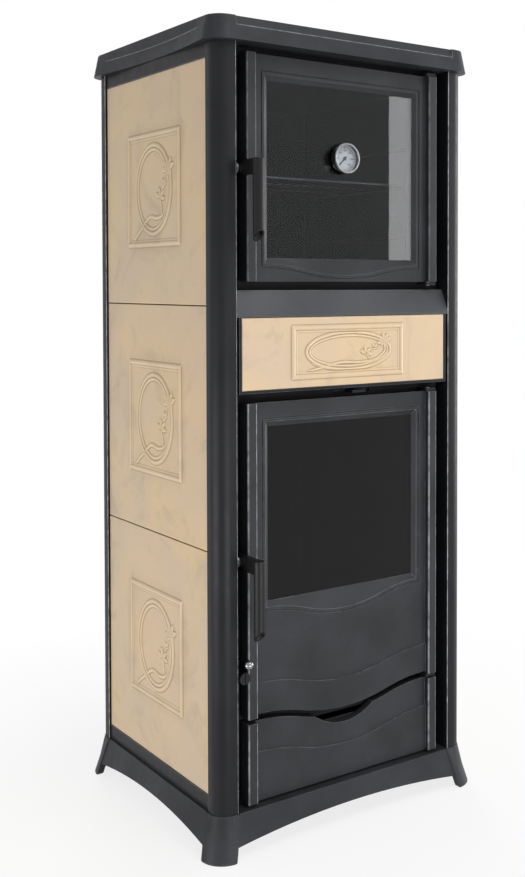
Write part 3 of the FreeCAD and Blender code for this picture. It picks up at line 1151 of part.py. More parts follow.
needle_front = needle_back - mm("needle_thickness")
spindle = disc(mm("spindle_radius"), needle_front, dial_front - needle_front)
casting("thermometer_dial", disc(lens_radius, dial_front, mm("dial_plate")).fuse(spindle).removeSplitter())
hub = disc(3 * mm("spindle_radius"), needle_front, mm("needle_thickness"))
pointer = Part.makeBox(mm("needle_length * 1.35"), mm("needle_thickness"), mm("needle_width"),
                       Vector(-mm("needle_length * 0.35"), needle_front, mm(f"{CASE_Z} - needle_width / 2")))
pointer.rotate(Vector(0, 0, mm(CASE_Z)), Vector(0, 1, 0), 135)
spindle_bore = disc(mm("spindle_radius + running_clearance"), needle_front, mm("needle_thickness"))
casting("thermometer_needle", hub.fuse(pointer).cut(spindle_bore))

doc.recompute()
for piece in doc.Objects:
    if "Invalid" in piece.State or "Error" in piece.State:
        raise RuntimeError(f"{piece.Name} failed to build")
for piece in nodes:
    if piece.Shape.isNull() or not piece.Shape.isValid() or not piece.Shape.Solids:
        raise RuntimeError(f"{piece.Label} is not a valid solid")

os.makedirs("parts", exist_ok=True)
for piece in nodes:
    piece.Shape.exportStep(f"parts/{piece.Label}.step")
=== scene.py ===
import math

import bmesh
import bpy
from mathutils import Matrix, Vector


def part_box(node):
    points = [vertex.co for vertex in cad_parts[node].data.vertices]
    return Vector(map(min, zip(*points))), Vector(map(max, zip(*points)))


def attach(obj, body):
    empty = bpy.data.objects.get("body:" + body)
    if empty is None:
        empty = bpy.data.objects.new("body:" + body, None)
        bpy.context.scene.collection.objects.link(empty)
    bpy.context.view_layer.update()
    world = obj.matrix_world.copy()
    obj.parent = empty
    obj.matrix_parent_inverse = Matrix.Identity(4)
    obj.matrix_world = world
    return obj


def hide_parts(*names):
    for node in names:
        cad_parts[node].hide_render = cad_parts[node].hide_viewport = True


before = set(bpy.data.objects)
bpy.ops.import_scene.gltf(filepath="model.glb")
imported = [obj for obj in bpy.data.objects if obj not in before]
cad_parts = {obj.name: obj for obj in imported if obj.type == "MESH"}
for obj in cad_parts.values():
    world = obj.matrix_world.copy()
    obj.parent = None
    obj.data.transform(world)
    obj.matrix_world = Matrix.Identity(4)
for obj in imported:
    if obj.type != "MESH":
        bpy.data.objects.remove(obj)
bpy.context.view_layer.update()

# Base: one iron casting, a skirt arched on all four sides between four curved legs that lean out.
# The mould rounds every edge, and the black stove paint is paler along them: partly rubbed wear, partly a
# painted highlight.
mm = 0.001
base_edge = 1.6 * mm
base_crease = 10.0
sole_round = 3.0 * mm
sole_corner = 40.0
floor_touch = 0.2 * mm


def tone(red, green, blue):
    """A colour as a paint chart gives it, from 0 to 255, on the shader's own scale."""
    shares = [part / 255 for part in (red, green, blue)]
    return tuple(((part + 0.055) / 1.055) ** 2.4 for part in shares) + (1.0,)


def add_node(tree, kind, inputs=None, **settings):
    """A shader node. An input given as a socket is linked, and any other is set."""
    made = tree.nodes.new(kind)
    for key, value in settings.items():
        setattr(made, key, value)
    for key, value in (inputs or {}).items():
        if isinstance(value, bpy.types.NodeSocket):
            tree.links.new(value, made.inputs[key])
        else:
            made.inputs[key].default_value = value
    return made


def spread_value(tree, value, low, high, to_low, to_high):
    """That value's range from low to high, stretched from to_low to to_high."""
    return add_node(tree, "ShaderNodeMapRange", {
        "Value": value, "From Min": low, "From Max": high, "To Min": to_low, "To Max": to_high,
    }).outputs["Result"]


def mixed(tree, share, first, second):
    """The first colour turning into the second by that share."""
    return add_node(tree, "ShaderNodeMix", {0: share, 6: first, 7: second}, data_type="RGBA").outputs[2]


def effect(name, inputs):
    """An empty node group for a finish: the group, its inputs and its Object coordinates."""
    group = bpy.data.node_groups.new(name, "ShaderNodeTree")
    for label, value in inputs.items():
        kind = "NodeSocketColor" if isinstance(value, tuple) else "NodeSocketFloat"
        group.interface.new_socket(label, in_out="INPUT", socket_type=kind).default_value = value
    for label, kind in (("Colour", "Color"), ("Roughness", "Float"), ("Height", "Float")):
        group.interface.new_socket(label, in_out="OUTPUT", socket_type=f"NodeSocket{kind}")
    place = add_node(group, "ShaderNodeTexCoord").outputs["Object"]
    return group, add_node(group, "NodeGroupInput").outputs, place


def noise(tree, place, scale, detail, **settings):
    """The value of a cloudy noise at a place."""
    return add_node(tree, "ShaderNodeTexNoise", {
        "Vector": place, "Scale": scale, "Detail": detail, **settings}).outputs["Fac"]


def reckoned(tree, operation, *values):
    """The result of a sum on values or sockets."""
    return add_node(tree, "ShaderNodeMath", dict(enumerate(values)), operation=operation).outputs[0]


def put_out(group, colour, roughness, height):
    """Ends a node group for a finish."""
    add_node(group, "NodeGroupOutput", {"Colour": colour, "Roughness": roughness, "Height": height})


black = tone(20, 20, 22)
paint, paint_in, paint_place = effect(
    "Stove paint", {"Dark": black, "Light": black, "Wear_and_highlight": black, "Grain": 900.0, "Dullness": 0.5})
cloud = noise(paint, paint_place, 11.0, 5.0)
smear = noise(paint, paint_place, 70.0, 4.0)
speck = noise(paint, paint_place, paint_in["Grain"], 2.0)
# The marked rounded edges turn paler: partly rubbed wear, partly a painted highlight along the edge.
wear_and_highlight_mask = add_node(paint, "ShaderNodeAttribute", attribute_name="wear_and_highlight_edge").outputs["Fac"]
wear_and_highlight_share = reckoned(paint, "MULTIPLY", wear_and_highlight_mask, spread_value(paint, smear, 0.35, 0.65, 0.35, 1.0))
flecked = reckoned(paint, "MULTIPLY", spread_value(paint, cloud, 0.3, 0.7, 0.0, 1.0), speck)
body_colour = mixed(paint, flecked, paint_in["Dark"], paint_in["Light"])
dull = reckoned(paint, "ADD", paint_in["Dullness"], reckoned(paint, "MULTIPLY_ADD", smear, 0.24, -0.12))
put_out(paint, mixed(paint, wear_and_highlight_share, body_colour, paint_in["Wear_and_highlight"]),
        reckoned(paint, "MULTIPLY_ADD", wear_and_highlight_share, -0.12, dull), speck)
bump_depth = 0.4 * mm


def dressed(name, group, values, relief, **constants):
    """A material that takes its colour, roughness and bump from a node group set to these values."""
    coat = bpy.data.materials.new(name)
    coat.use_nodes = True
    tree = coat.node_tree
    shader = tree.nodes["Principled BSDF"]
    layer = add_node(tree, "ShaderNodeGroup", values, node_tree=group).outputs
    bump = add_node(tree, "ShaderNodeBump", {
        "Height": layer["Height"], "Strength": relief, "Distance": bump_depth})
    tree.links.new(layer["Colour"], shader.inputs["Base Color"])
    tree.links.new(layer["Roughness"], shader.inputs["Roughness"])
    tree.links.new(bump.outputs["Normal"], shader.inputs["Normal"])
    for label, value in constants.items():
        shader.inputs[label.replace("_", " ")].default_value = value
    return coat


cast_paint = dressed("cast_paint", paint, {
    "Dark": tone(36, 37, 40), "Light": tone(63, 64, 68), "Wear_and_highlight": tone(122, 123, 128), "Grain": 520.0,
    "Dullness": 0.48}, 0.30, Specular_IOR_Level=0.17)

same_spot = 0.005 * mm
same_plane = 0.5


def merged(node):
    """A workable copy of a CAD node's mesh: its loose triangles joined into whole faces."""
    mesh = bmesh.new()
    mesh.from_mesh(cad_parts[node].data)
    bmesh.ops.remove_doubles(mesh, verts=mesh.verts, dist=same_spot)
    bmesh.ops.dissolve_limit(mesh, angle_limit=math.radians(same_plane), verts=mesh.verts, edges=mesh.edges)
    return mesh


def rounded(mesh, radius, angle=30.0, spared=lambda edge: False):
    """Rounds off the sharp edges that aren't spared, and marks the rounding for the paler edge colour:
    partly paint wear, partly a painted highlight.
    """
    marks = mesh.faces.layers.float.new("wear_and_highlight_edge")
    sharp = [edge for edge in mesh.edges if len(edge.link_faces) == 2 and not spared(edge)
             and edge.calc_face_angle(0.0) > math.radians(angle)]
    made = bmesh.ops.bevel(mesh, geom=sharp, offset=radius, offset_type="OFFSET", affect="EDGES", segments=2,
                           profile=0.5, material=-1, clamp_overlap=True)
    for face in made["faces"]:
        face[marks] = 1.0
    return mesh


def placed(mesh, name, coat, body, replaced=(), smooth=40.0):
    """Makes a piece of a mesh: shaded smooth up to that angle, on its body, in its slot."""
    data = bpy.data.meshes.new(name)
    mesh.to_mesh(data)
    mesh.free()
    data.materials.append(coat)
    data.shade_smooth()
    data.set_sharp_from_angle(angle=math.radians(smooth))
    piece = bpy.data.objects.new(name, data)
    bpy.context.collection.objects.link(piece)
    weighted = piece.modifiers.new("even_shading", "WEIGHTED_NORMAL")
    weighted.keep_sharp = True
    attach(piece, body)
    if replaced:
        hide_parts(*replaced)
    return piece


def softened(node, radius, coat, body, smooth=40.0, angle=30.0):
    """The piece that a CAD node stands for, with its edges rounded off."""
    return placed(rounded(merged(node), radius, angle), f"{node}_finished", coat, body, (node,), smooth)


base = merged("base_casting")
sole = [edge for edge in base.edges
        if all(end.co.z < floor_touch for end in edge.verts) and len(edge.link_faces) == 2
        and edge.calc_face_angle(0.0) > math.radians(sole_corner)]
bmesh.ops.bevel(base, geom=sole, offset=sole_round, affect="EDGES", segments=3, profile=0.5, material=-1,
                clamp_overlap=True)
placed(rounded(base, base_edge, base_crease), "base_casting_finished", cast_paint, "body",
       ("base_casting",))

# Corner posts and tile rails: folded steel with a round outer corner, painted in a smoother black.
# The posts stand on the base and carry the lid; the rails close the side walls under and over the tiles.
sheet_edge = 1.0 * mm
sheet_paint = dressed("sheet_paint", paint, {
    "Dark": tone(18, 19, 22), "Light": tone(32, 33, 37), "Wear_and_highlight": tone(92, 93, 98), "Grain": 1400.0,
    "Dullness": 0.44}, 0.12, Specular_IOR_Level=0.2)


def is_level(edge):
    """An edge round the head or foot of a post."""
    return abs(edge.verts[0].co.z - edge.verts[1].co.z) < sheet_edge


# The posts' front edges get a near-white edge colour: mostly a painted highlight along the fold, partly
# wear.
post_paint = dressed("post_paint", paint, {
    "Dark": tone(18, 19, 22), "Light": tone(32, 33, 37), "Wear_and_highlight": tone(176, 177, 181), "Grain": 1400.0,
    "Dullness": 0.42}, 0.12, Specular_IOR_Level=0.2)
for corner in ("front_left", "front_right", "rear_left", "rear_right"):
    node = f"corner_post_{corner}"
    placed(rounded(merged(node), sheet_edge, spared=is_level), f"{node}_finished", post_paint, "body",
           (node,))
softened("tile_rails", sheet_edge, sheet_paint, "body")

# Lid: an iron casting, its sides drawn in between round corners and its front chamfered, hollow underneath.
# It lies on the posts and is painted with the base.
lid_edge = 0.8 * mm
lid_crease = 13.0
lid_strip = 15 * mm
lid_corner = 37 * mm
lid_draw = 2 * lid_corner / 3
touch = 0.1 * mm
lid = merged("top_lid")
lid_low, lid_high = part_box("top_lid")
crease_height = lid_high.z - lid_strip


def on_strip(vert, side):
    """Is this point on the strip between the crease and the top, on the left or right of the lid?"""
    return (vert.co.x * side > lid_high.x - lid_draw and vert.co.z > crease_height - touch
            and lid_low.y + lid_corner - touch < vert.co.y < lid_high.y - lid_corner + touch)


def open_edges(side, height):
    """The edges at this height round the hole that the strip leaves in the lid."""
    return [edge for edge in lid.edges if edge.is_boundary and all(
        on_strip(vert, side) and abs(vert.co.z - height) < touch for vert in edge.verts)]


for side in (-1, 1):
    strip = [face for face in lid.faces if all(on_strip(vert, side) for vert in face.verts)]
    bmesh.ops.delete(lid, geom=strip, context="FACES")
    crease_parts = len(open_edges(side, crease_height))
    bmesh.ops.subdivide_edges(lid, edges=open_edges(side, lid_high.z), cuts=crease_parts - 1)
    bmesh.ops.bridge_loops(lid, edges=open_edges(side, crease_height) + open_edges(side, lid_high.z))
bmesh.ops.recalc_face_normals(lid, faces=lid.faces)


def kept_sharp(edge):
    """The lid's lower rim, and the inner corners where the chamfer stops, stay sharp and unmarked: no pale
    wear and no painted highlight.
    """
    heights = [vert.co.z for vert in edge.verts]
    upright = max(heights) - min(heights) > lid_strip / 2
    return max(heights) < lid_low.z + touch or (upright and not edge.is_convex)


placed(rounded(lid, lid_edge, lid_crease, kept_sharp), "top_lid_finished", cast_paint, "body",
       ("top_lid",))

# Side carriers: dull steel sheets behind the tiles that the tiles hang on, seen only in the gaps.
# Back panel: one sheet with rows of air slots, held by six pan-head screws.
carrier_edge = 0.3 * mm
thin_edge = 0.4 * mm
soot_steel = dressed("soot_steel", paint, {
    "Dark": tone(22, 22, 24), "Light": tone(40, 40, 43), "Wear_and_highlight": tone(74, 74, 77), "Grain": 900.0,
    "Dullness": 0.74}, 0.14, Specular_IOR_Level=0.15)
for side in ("left", "right"):
    softened(f"side_carrier_{side}", carrier_edge, soot_steel, "body")
softened("back_panel", thin_edge, sheet_paint, "body")

polish, polish_in, polish_place = effect(
    "Polished metal", {"Dark": black, "Light": black, "Dullness": 0.2})
drawn = add_node(polish, "ShaderNodeMapping", {"Vector": polish_place, "Scale": (1.0, 1.0, 12.0)})
scratch = noise(polish, drawn.outputs["Vector"], 260.0, 4.0)
bloom = noise(polish, polish_place, 55.0, 3.0)
put_out(polish, mixed(polish, bloom, polish_in["Dark"], polish_in["Light"]),
        reckoned(polish, "ADD", polish_in["Dullness"], reckoned(polish, "MULTIPLY_ADD", bloom, 0.16, -0.08)),
        scratch)
zinc = dressed("zinc_plate", polish, {
    "Dark": tone(120, 121, 124), "Light": tone(165, 166, 168), "Dullness": 0.36}, 0.05, Metallic=1.0)

head_taper = 0.9
head_round = 0.3
slot_half = 0.6 * mm
slot_share = 0.45
faces_up = 0.2


def parts_of(node):
    """The boxes of a CAD node's separate solids, each as its lowest and highest corner."""
    mesh = merged(node)
    left = set(mesh.verts)
    boxes = []
    while left:
        grown = [left.pop()]
        spots = []
        while grown:
            vert = grown.pop()
            spots.append(vert.co.copy())
            for edge in vert.link_edges:
                other = edge.other_vert(vert)
                if other in left:
                    left.remove(other)
                    grown.append(other)
        boxes.append((Vector(map(min, *spots)), Vector(map(max, *spots))))
    mesh.free()
    return sorted(boxes, key=lambda pair: tuple(round(part, 4) for part in pair[0]))


def sink(mesh, strip, way):
    """Cuts a slot: sinks a strip of faces that way and leaves walls round it."""
    sunk = bmesh.ops.extrude_face_region(mesh, geom=strip)["geom"]
    bmesh.ops.delete(mesh, geom=strip, context="FACES_ONLY")
    bmesh.ops.translate(mesh, vec=way, verts=[part for part in sunk if isinstance(part, bmesh.types.BMVert)])


def slotted_head(radius, depth):
    """A pan-head screw pointing up, with its middle at the origin and a slot across its top."""
    head = bmesh.new()
    bmesh.ops.create_cone(head, cap_ends=True, segments=28, radius1=radius, radius2=radius * head_taper,
                          depth=depth)
    rim = [edge for edge in head.edges if all(end.co.z > 0 for end in edge.verts)]
    bmesh.ops.bevel(head, geom=rim, offset=depth * head_round, affect="EDGES", segments=3, profile=0.5,
                    material=-1, clamp_overlap=True)
    for side in (-slot_half, slot_half):
        bmesh.ops.bisect_plane(head, geom=head.verts[:] + head.edges[:] + head.faces[:],
                               plane_co=(side, 0, 0), plane_no=(1, 0, 0))
    sink(head, [face for face in head.faces
                if face.normal.z > faces_up and abs(face.calc_center_median().x) < slot_half],
         (0, 0, -depth * slot_share))
    return head


screws = bmesh.new()
for low, high in parts_of("back_panel_screws"):
    screw = slotted_head((high.x - low.x) / 2, high.y - low.y)
    turned = Matrix.Translation((low + high) / 2) @ Matrix.Rotation(math.radians(-90), 4, "X")
    bmesh.ops.transform(screw, matrix=turned, verts=screw.verts)
    loose = bpy.data.meshes.new("screw")
    screw.to_mesh(loose)
    screw.free()
    screws.from_mesh(loose)
    bpy.data.meshes.remove(loose)
placed(screws, "back_panel_screws_finished", zinc, "body", ("back_panel_screws",))

# Side tiles: three glazed earthenware tiles a side, pressed with a moulded frame, a ring of two beads
# and a flowering stem. The glaze runs thin and pale over the relief and darker in its hollows: partly pooled
# glaze, partly painted shade.
relief_room = 3.0 * mm
relief_spare = 0.05 * mm
field_level = 0.4 * mm
field_ramp = 2.0 * mm
field_margin = 2 * mm
tile_roll = 2.4 * mm
tile_roll_drop = 1.1 * mm
tile_shading = 60.0
frame_rise, frame_half = 2.8 * mm, 5.0 * mm
step_rise, step_half, step_in = 1.3 * mm, 2.4 * mm, 10.8 * mm
frame_depth = 13.2 * mm
ring_rise, ring_half = 2.3 * mm, 3.1 * mm
inner_rise, inner_half, inner_gap = 1.8 * mm, 2.3 * mm, 5.2 * mm
stem_rise, stem_taper = 1.9 * mm, 0.35
leaf_rise, leaf_root, vein_half, vein_depth = 2.3 * mm, 1.4 * mm, 0.7 * mm, 0.45
leaf_fullness, leaf_least = 0.8, 0.1 * mm
heart_rise, heart_half = 2.5 * mm, 2.6 * mm
pool_and_shade_depth, pool_and_shade_ease, pool_and_shade_rounds = 0.22 * mm, 0.5, 2


def bead(away, half_width):
    """How high a round bead stands, from 0 to 1, at that distance from its middle line."""
    return max(0.0, 1.0 - (away / half_width) ** 2)


def to_line(spot, line):
    """The distance from a spot to a line of points, and how far along the line it is nearest."""
    best = (1.0, 0.0)
    steps = len(line) - 1
    for step in range(steps):
        start, run = line[step], line[step + 1] - line[step]
        share = min(1.0, max(0.0, (spot - start).dot(run) / run.length_squared))
        away = (start + run * share - spot).length
        if away < best[0]:
            best = (away, (step + share) / steps)
    return best


def curved(points, ring, count=28):
    """A smooth line through points given in shares of the ring's half sizes."""
    knots = [Vector((x * ring[0], y * ring[1])) for x, y in points]
    knots = [knots[0] * 2 - knots[1]] + knots + [knots[-1] * 2 - knots[-2]]
    line = []
    for step in range(count + 1):
        place = step / count * (len(knots) - 3)
        index = min(int(place), len(knots) - 4)
        t = place - index
        a, b, c, d = knots[index:index + 4]
        line.append(b + 0.5 * t * (c - a + t * (2 * a - 5 * b + 4 * c - d + t * (3 * (b - c) + d - a))))
    return line


def leaf(spot, root, tip, width):
    """How high a pointed leaf stands at a spot, creased along its vein."""
    run = tip - root
    along = (spot - root).dot(run) / run.length_squared
    if not 0.0 < along < 1.0:
        return 0.0
    half = width / 2 * math.sin(math.pi * along ** leaf_fullness)
    across = (spot - root - run * along).length
    if half < leaf_least or across > half:
        return 0.0
    return math.sqrt(1.0 - (across / half) ** 2) * (1.0 - vein_depth * math.exp(-(across / vein_half) ** 2))


def relief(width, height, ring, scale):
    """A function giving the relief's height at a spot of the tile, from its flat face."""
    stems = [
        (curved([(-1.16, -1.18), (-0.92, -1.0), (-0.62, -0.84), (-0.2, -0.62), (0.22, -0.66), (0.62, -0.55),
                 (0.86, -0.1), (0.84, 0.36)], ring), 2.5 * mm * scale),
        (curved([(-0.86, -0.62), (-0.6, -0.86), (-0.2, -0.98), (0.3, -0.94), (0.72, -0.62), (0.98, -0.12),
                 (1.0, 0.4)], ring), 2.2 * mm * scale),
        (curved([(0.5, -0.6), (0.46, -0.4), (0.4, -0.22), (0.3, 0.02)], ring), 1.3 * mm * scale),
        (curved([(0.72, 0.1), (0.62, 0.06), (0.5, -0.04)], ring), 1.2 * mm * scale),
    ]
    leaves = []
    for centre, reach, turns, breadth in (
            ((0.40, -0.20), 13.5, (158, 100, 40, -8), 6.0),
            ((0.86, 0.42), 16.5, (20, 62, 104, 146, 188), 7.4),
            ((0.84, 0.40), 9.0, (300, 340, 230), 4.4),
            ((0.62, 0.08), 9.0, (120, 60), 4.0)):
        root = Vector((centre[0] * ring[0], centre[1] * ring[1]))
        for turn in turns:
            aim = Vector((math.cos(math.radians(turn)), math.sin(math.radians(turn))))
            leaves.append((root + aim * leaf_root, root + aim * reach * scale * mm, breadth * scale * mm))
    heart = Vector((0.86 * ring[0], 0.42 * ring[1]))

    def height_at(spot):
        inside = min(width / 2 - abs(spot.x), height / 2 - abs(spot.y))
        if inside <= 0.0:
            return 0.0
        frame_bead = frame_rise * bead(inside - frame_half, frame_half)
        step = step_rise * bead(inside - step_in, step_half)
        level = field_level * min(1.0, inside / field_ramp)
        if inside < frame_depth:
            return max(frame_bead, step, level)
        size = math.hypot(spot.x / ring[0], spot.y / ring[1])
        slope = math.hypot(spot.x / ring[0] ** 2, spot.y / ring[1] ** 2) / max(size, 1e-6)
        away = (size - 1.0) / max(slope, 1e-6)
        rise = ring_rise * bead(away, ring_half * scale)
        rise = max(rise, inner_rise * bead(away + inner_gap * scale, inner_half * scale))
        for line, half in stems:
            near, along = to_line(spot, line)
            rise = max(rise, stem_rise * bead(near, half * (1.0 - stem_taper * abs(2 * along - 1))))
        for root, tip, breadth in leaves:
            rise = max(rise, leaf_rise * leaf(spot, root, tip, breadth))
        rise = max(rise, heart_rise * bead((spot - heart).length, heart_half * scale))
        return level + min(rise, relief_room - level - relief_spare)

    return height_at


def grid_lines(half, dense, pitch):
    """Lines across a tile: close under the relief, few outside it, and close on the rolled edge."""
    count = round(2 * dense / pitch)
    inner = [-dense + 2 * dense * step / count for step in range(count + 1)]
    outer = [half - tile_roll * share for share in (0.0, 0.12, 0.35, 0.65, 1.0)]
    outer += [dense + (half - tile_roll - dense) * share for share in (0.75, 0.5, 0.25)]
    return [-line for line in outer] + inner + outer[::-1]


def pressed_tile(size, framed, ring, scale, thickness, pitch):
    """A tile lying on its back, its face at height 0, with the marks that the glaze reads."""
    across = grid_lines(size[0] / 2, framed[0] / 2 + field_margin, pitch)
    upward = grid_lines(size[1] / 2, framed[1] / 2 + field_margin, pitch)
    height_at = relief(framed[0], framed[1], ring, scale)
    tile = bmesh.new()
    bmesh.ops.create_grid(tile, x_segments=len(across) - 1, y_segments=len(upward) - 1, size=0.5)
    for vert in tile.verts:
        spot = Vector((across[round((vert.co.x + 0.5) * (len(across) - 1))],
                       upward[round((vert.co.y + 0.5) * (len(upward) - 1))]))
        edge = min(size[0] / 2 - abs(spot.x), size[1] / 2 - abs(spot.y))
        fall = tile_roll_drop * (1.0 - math.sqrt(max(0.0, 1.0 - max(0.0, 1.0 - edge / tile_roll) ** 2)))
        vert.co = (spot.x, spot.y, height_at(spot) - fall)
    # How deep each point lies in a hollow: the glaze darkens there, partly as pooling, partly as painted
    # shade.
    pool_and_shade = tile.verts.layers.float.new("pool_and_shade")
    for vert in tile.verts:
        around = [edge.other_vert(vert).co.z for edge in vert.link_edges]
        vert[pool_and_shade] = (sum(around) / len(around) - vert.co.z) / pool_and_shade_depth
    for easing in range(pool_and_shade_rounds):
        eased = {vert: sum(edge.other_vert(vert)[pool_and_shade] for edge in vert.link_edges) / len(vert.link_edges)
                 for vert in tile.verts}
        for vert, value in eased.items():
            vert[pool_and_shade] += (value - vert[pool_and_shade]) * pool_and_shade_ease
    rim = [edge for edge in tile.edges if len(edge.link_faces) == 1]
    back = bmesh.ops.extrude_edge_only(tile, edges=rim)["geom"]
    for vert in back:
        if isinstance(vert, bmesh.types.BMVert):
            vert.co.z = -thickness
    bmesh.ops.holes_fill(tile, edges=[edge for edge in tile.edges if len(edge.link_faces) == 1], sides=0)
    bmesh.ops.recalc_face_normals(tile, faces=tile.faces)
    return tile


glaze_group, glaze_in, glaze_place = effect(
    "Tile glaze", {"Pale": black, "Warm": black, "Grey": black, "Thin": black, "Gathered_and_shaded": black})
drift = noise(glaze_group, glaze_place, 5.5, 4.0, Roughness=0.55, Distortion=0.9)
veil = noise(glaze_group, glaze_place, 9.0, 6.0, Roughness=0.62, Distortion=1.6)
ripple = noise(glaze_group, glaze_place, 42.0, 3.0)
pooled_and_shaded = add_node(glaze_group, "ShaderNodeAttribute", attribute_name="pool_and_shade").outputs["Fac"]
glazed = glaze_in["Pale"]
# The last colour darkens the hollows: partly pooled glaze, partly painted shade.
for finish, cause, low, high, most in (
        ("Warm", drift, 0.36, 0.64, 1.0), ("Grey", veil, 0.52, 0.74, 0.75),
        ("Thin", pooled_and_shaded, -0.1, -0.8, 0.8), ("Gathered_and_shaded", pooled_and_shaded, 0.06, 0.55, 0.8)):
    share = spread_value(glaze_group, cause, low, high, 0.0, most)
    glazed = mixed(glaze_group, share, glazed, glaze_in[finish])
put_out(glaze_group, glazed, spread_value(glaze_group, veil, 0.3, 0.7, 0.34, 0.48), ripple)
glaze = dressed("tile_glaze", glaze_group, {
    "Pale": tone(200, 178, 152), "Warm": tone(208, 183, 146), "Grey": tone(178, 158, 136),
    "Thin": tone(228, 207, 170), "Gathered_and_shaded": tone(154, 129, 100)}, 0.08,
    Specular_IOR_Level=0.3, Coat_Weight=0.06, Coat_Roughness=0.2)

side_frame = (197 * mm, 196 * mm)
side_ring = (65 * mm, 75 * mm)
side_low, side_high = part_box("side_tile_left_lower")
side_size = (side_high.y - side_low.y, side_high.z - side_low.z)
side_thick = side_high.x - side_low.x - relief_room
side_scale = 1.35
side_pitch = 1.35 * mm
side_tile = pressed_tile(side_size, side_frame, side_ring, side_scale, side_thick, side_pitch)
for side, outward in (("left", -1), ("right", 1)):
    for level in ("lower", "middle", "upper"):
        low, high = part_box(f"side_tile_{side}_{level}")
        face_x = low.x + relief_room if outward < 0 else high.x - relief_room
        hung = Matrix(((0, 0, outward, face_x), (outward, 0, 0, (low.y + high.y) / 2),
                       (0, 1, 0, (low.z + high.z) / 2), (0, 0, 0, 1)))
        tile = side_tile.copy()
        bmesh.ops.transform(tile, matrix=hung, verts=tile.verts)
        placed(tile, f"side_tile_{side}_{level}_glazed", glaze, "body",
               (f"side_tile_{side}_{level}",), tile_shading)
side_tile.free()

# Front tile: one long tile of the same glaze between oven and fire, with the ornament drawn out sideways.
# It sits in a thin mitred holder of painted sheet; the sloping apron above it is a folded sheet.
front_frame = (232 * mm, 90 * mm)
front_ring = (86 * mm, 31 * mm)
front_low, front_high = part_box("front_tile")
front_size = (front_high.x - front_low.x, front_high.z - front_low.z)
front_thick = front_high.y - front_low.y - relief_room
front_scale = 1.0
front_pitch = 1.0 * mm
front_tile = pressed_tile(front_size, front_frame, front_ring, front_scale, front_thick, front_pitch)
set_in = Matrix(((1, 0, 0, (front_low.x + front_high.x) / 2), (0, 0, -1, front_low.y + relief_room),
                 (0, 1, 0, (front_low.z + front_high.z) / 2), (0, 0, 0, 1)))
bmesh.ops.transform(front_tile, matrix=set_in, verts=front_tile.verts)
placed(front_tile, "front_tile_glazed", glaze, "body", ("front_tile",), tile_shading)
plate_edge = 0.5 * mm
apron_edge = 0.7 * mm
softened("front_tile_holder", plate_edge, sheet_paint, "body")
# The apron is painted lighter than the other sheet: painted light for the sheen its upward slope catches.
apron_lit_paint = dressed("apron_lit_paint", paint, {
    "Dark": tone(58, 59, 62), "Light": tone(82, 83, 87), "Wear_and_highlight": tone(116, 117, 122), "Grain": 900.0,
    "Dullness": 0.44}, 0.16, Specular_IOR_Level=0.3)
softened("front_apron", apron_edge, apron_lit_paint, "body")

# Face plates, hinge lugs and keepers: laser-cut steel behind the doors, dull black from heat-proof paint.
# The lugs carry the hinge pins, and the keepers hold the handles' latches.
for plate in ("oven_face_plate", "firebox_face_plate"):
    softened(plate, thin_edge, soot_steel, "body")
for part in ("hinge_lugs", "latch_keepers"):
    softened(part, plate_edge, sheet_paint, "body")

# Oven: a folded steel box with pressed side racks, grey-black from use.
# The shelf is a grid of round wire with a thicker wire round it, resting on the racks.
oven_steel = dressed("oven_steel", paint, {
    "Dark": tone(16, 16, 18), "Light": tone(28, 28, 31), "Wear_and_highlight": tone(80, 80, 84), "Grain": 180.0,
    "Dullness": 0.66}, 0.01, Specular_IOR_Level=0.15)
for part in ("oven_muffle", "oven_side_racks"):
    softened(part, thin_edge, oven_steel, "body")
wire_steel = dressed("wire_steel", polish, {
    "Dark": tone(70, 70, 74), "Light": tone(104, 104, 108), "Dullness": 0.4}, 0.03, Metallic=1.0)
shelf_low, shelf_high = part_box("oven_shelf")
rim_wire = 2.0 * mm
bar_wire = 1.4 * mm
bar_count = 17
cross_bars = (0.33, 0.67)
end_ease = 0.4
shelf_z = (shelf_low.z + shelf_high.z) / 2
shelf = bmesh.new()


def straight_wire(mesh, start, end, radius):
    """A round wire between two points, with eased ends."""
    run = end - start
    turn = run.to_track_quat("Z", "Y").to_matrix().to_4x4()
    made = bmesh.ops.create_cone(mesh, cap_ends=True, segments=10, radius1=radius, radius2=radius,
                                 depth=run.length, matrix=Matrix.Translation((start + end) / 2) @ turn)
    ends = [edge for edge in {edge for vert in made["verts"] for edge in vert.link_edges}
            if abs((edge.verts[1].co - edge.verts[0].co).dot(run)) < 1e-9]
    bmesh.ops.bevel(mesh, geom=ends, offset=radius * end_ease, affect="EDGES", segments=2, profile=0.5,
                    material=-1, clamp_overlap=True)


rim_x = (shelf_low.x + rim_wire, shelf_high.x - rim_wire)
rim_y = (shelf_low.y + rim_wire, shelf_high.y - rim_wire)
for y in rim_y:
    straight_wire(shelf, Vector((shelf_low.x, y, shelf_z)), Vector((shelf_high.x, y, shelf_z)), rim_wire)
for x in rim_x:
    straight_wire(shelf, Vector((x, shelf_low.y, shelf_z)), Vector((x, shelf_high.y, shelf_z)), rim_wire)
for step in range(1, bar_count + 1):
    x = rim_x[0] + (rim_x[1] - rim_x[0]) * step / (bar_count + 1)
    straight_wire(shelf, Vector((x, rim_y[0], shelf_z)), Vector((x, rim_y[1], shelf_z)), bar_wire)
cross_z = shelf_low.z + bar_wire
for share in cross_bars:
    y = rim_y[0] + (rim_y[1] - rim_y[0]) * share
    straight_wire(shelf, Vector((rim_x[0], y, cross_z)), Vector((rim_x[1], y, cross_z)), bar_wire)
placed(shelf, "oven_shelf_wire", wire_steel, "body", ("oven_shelf",))

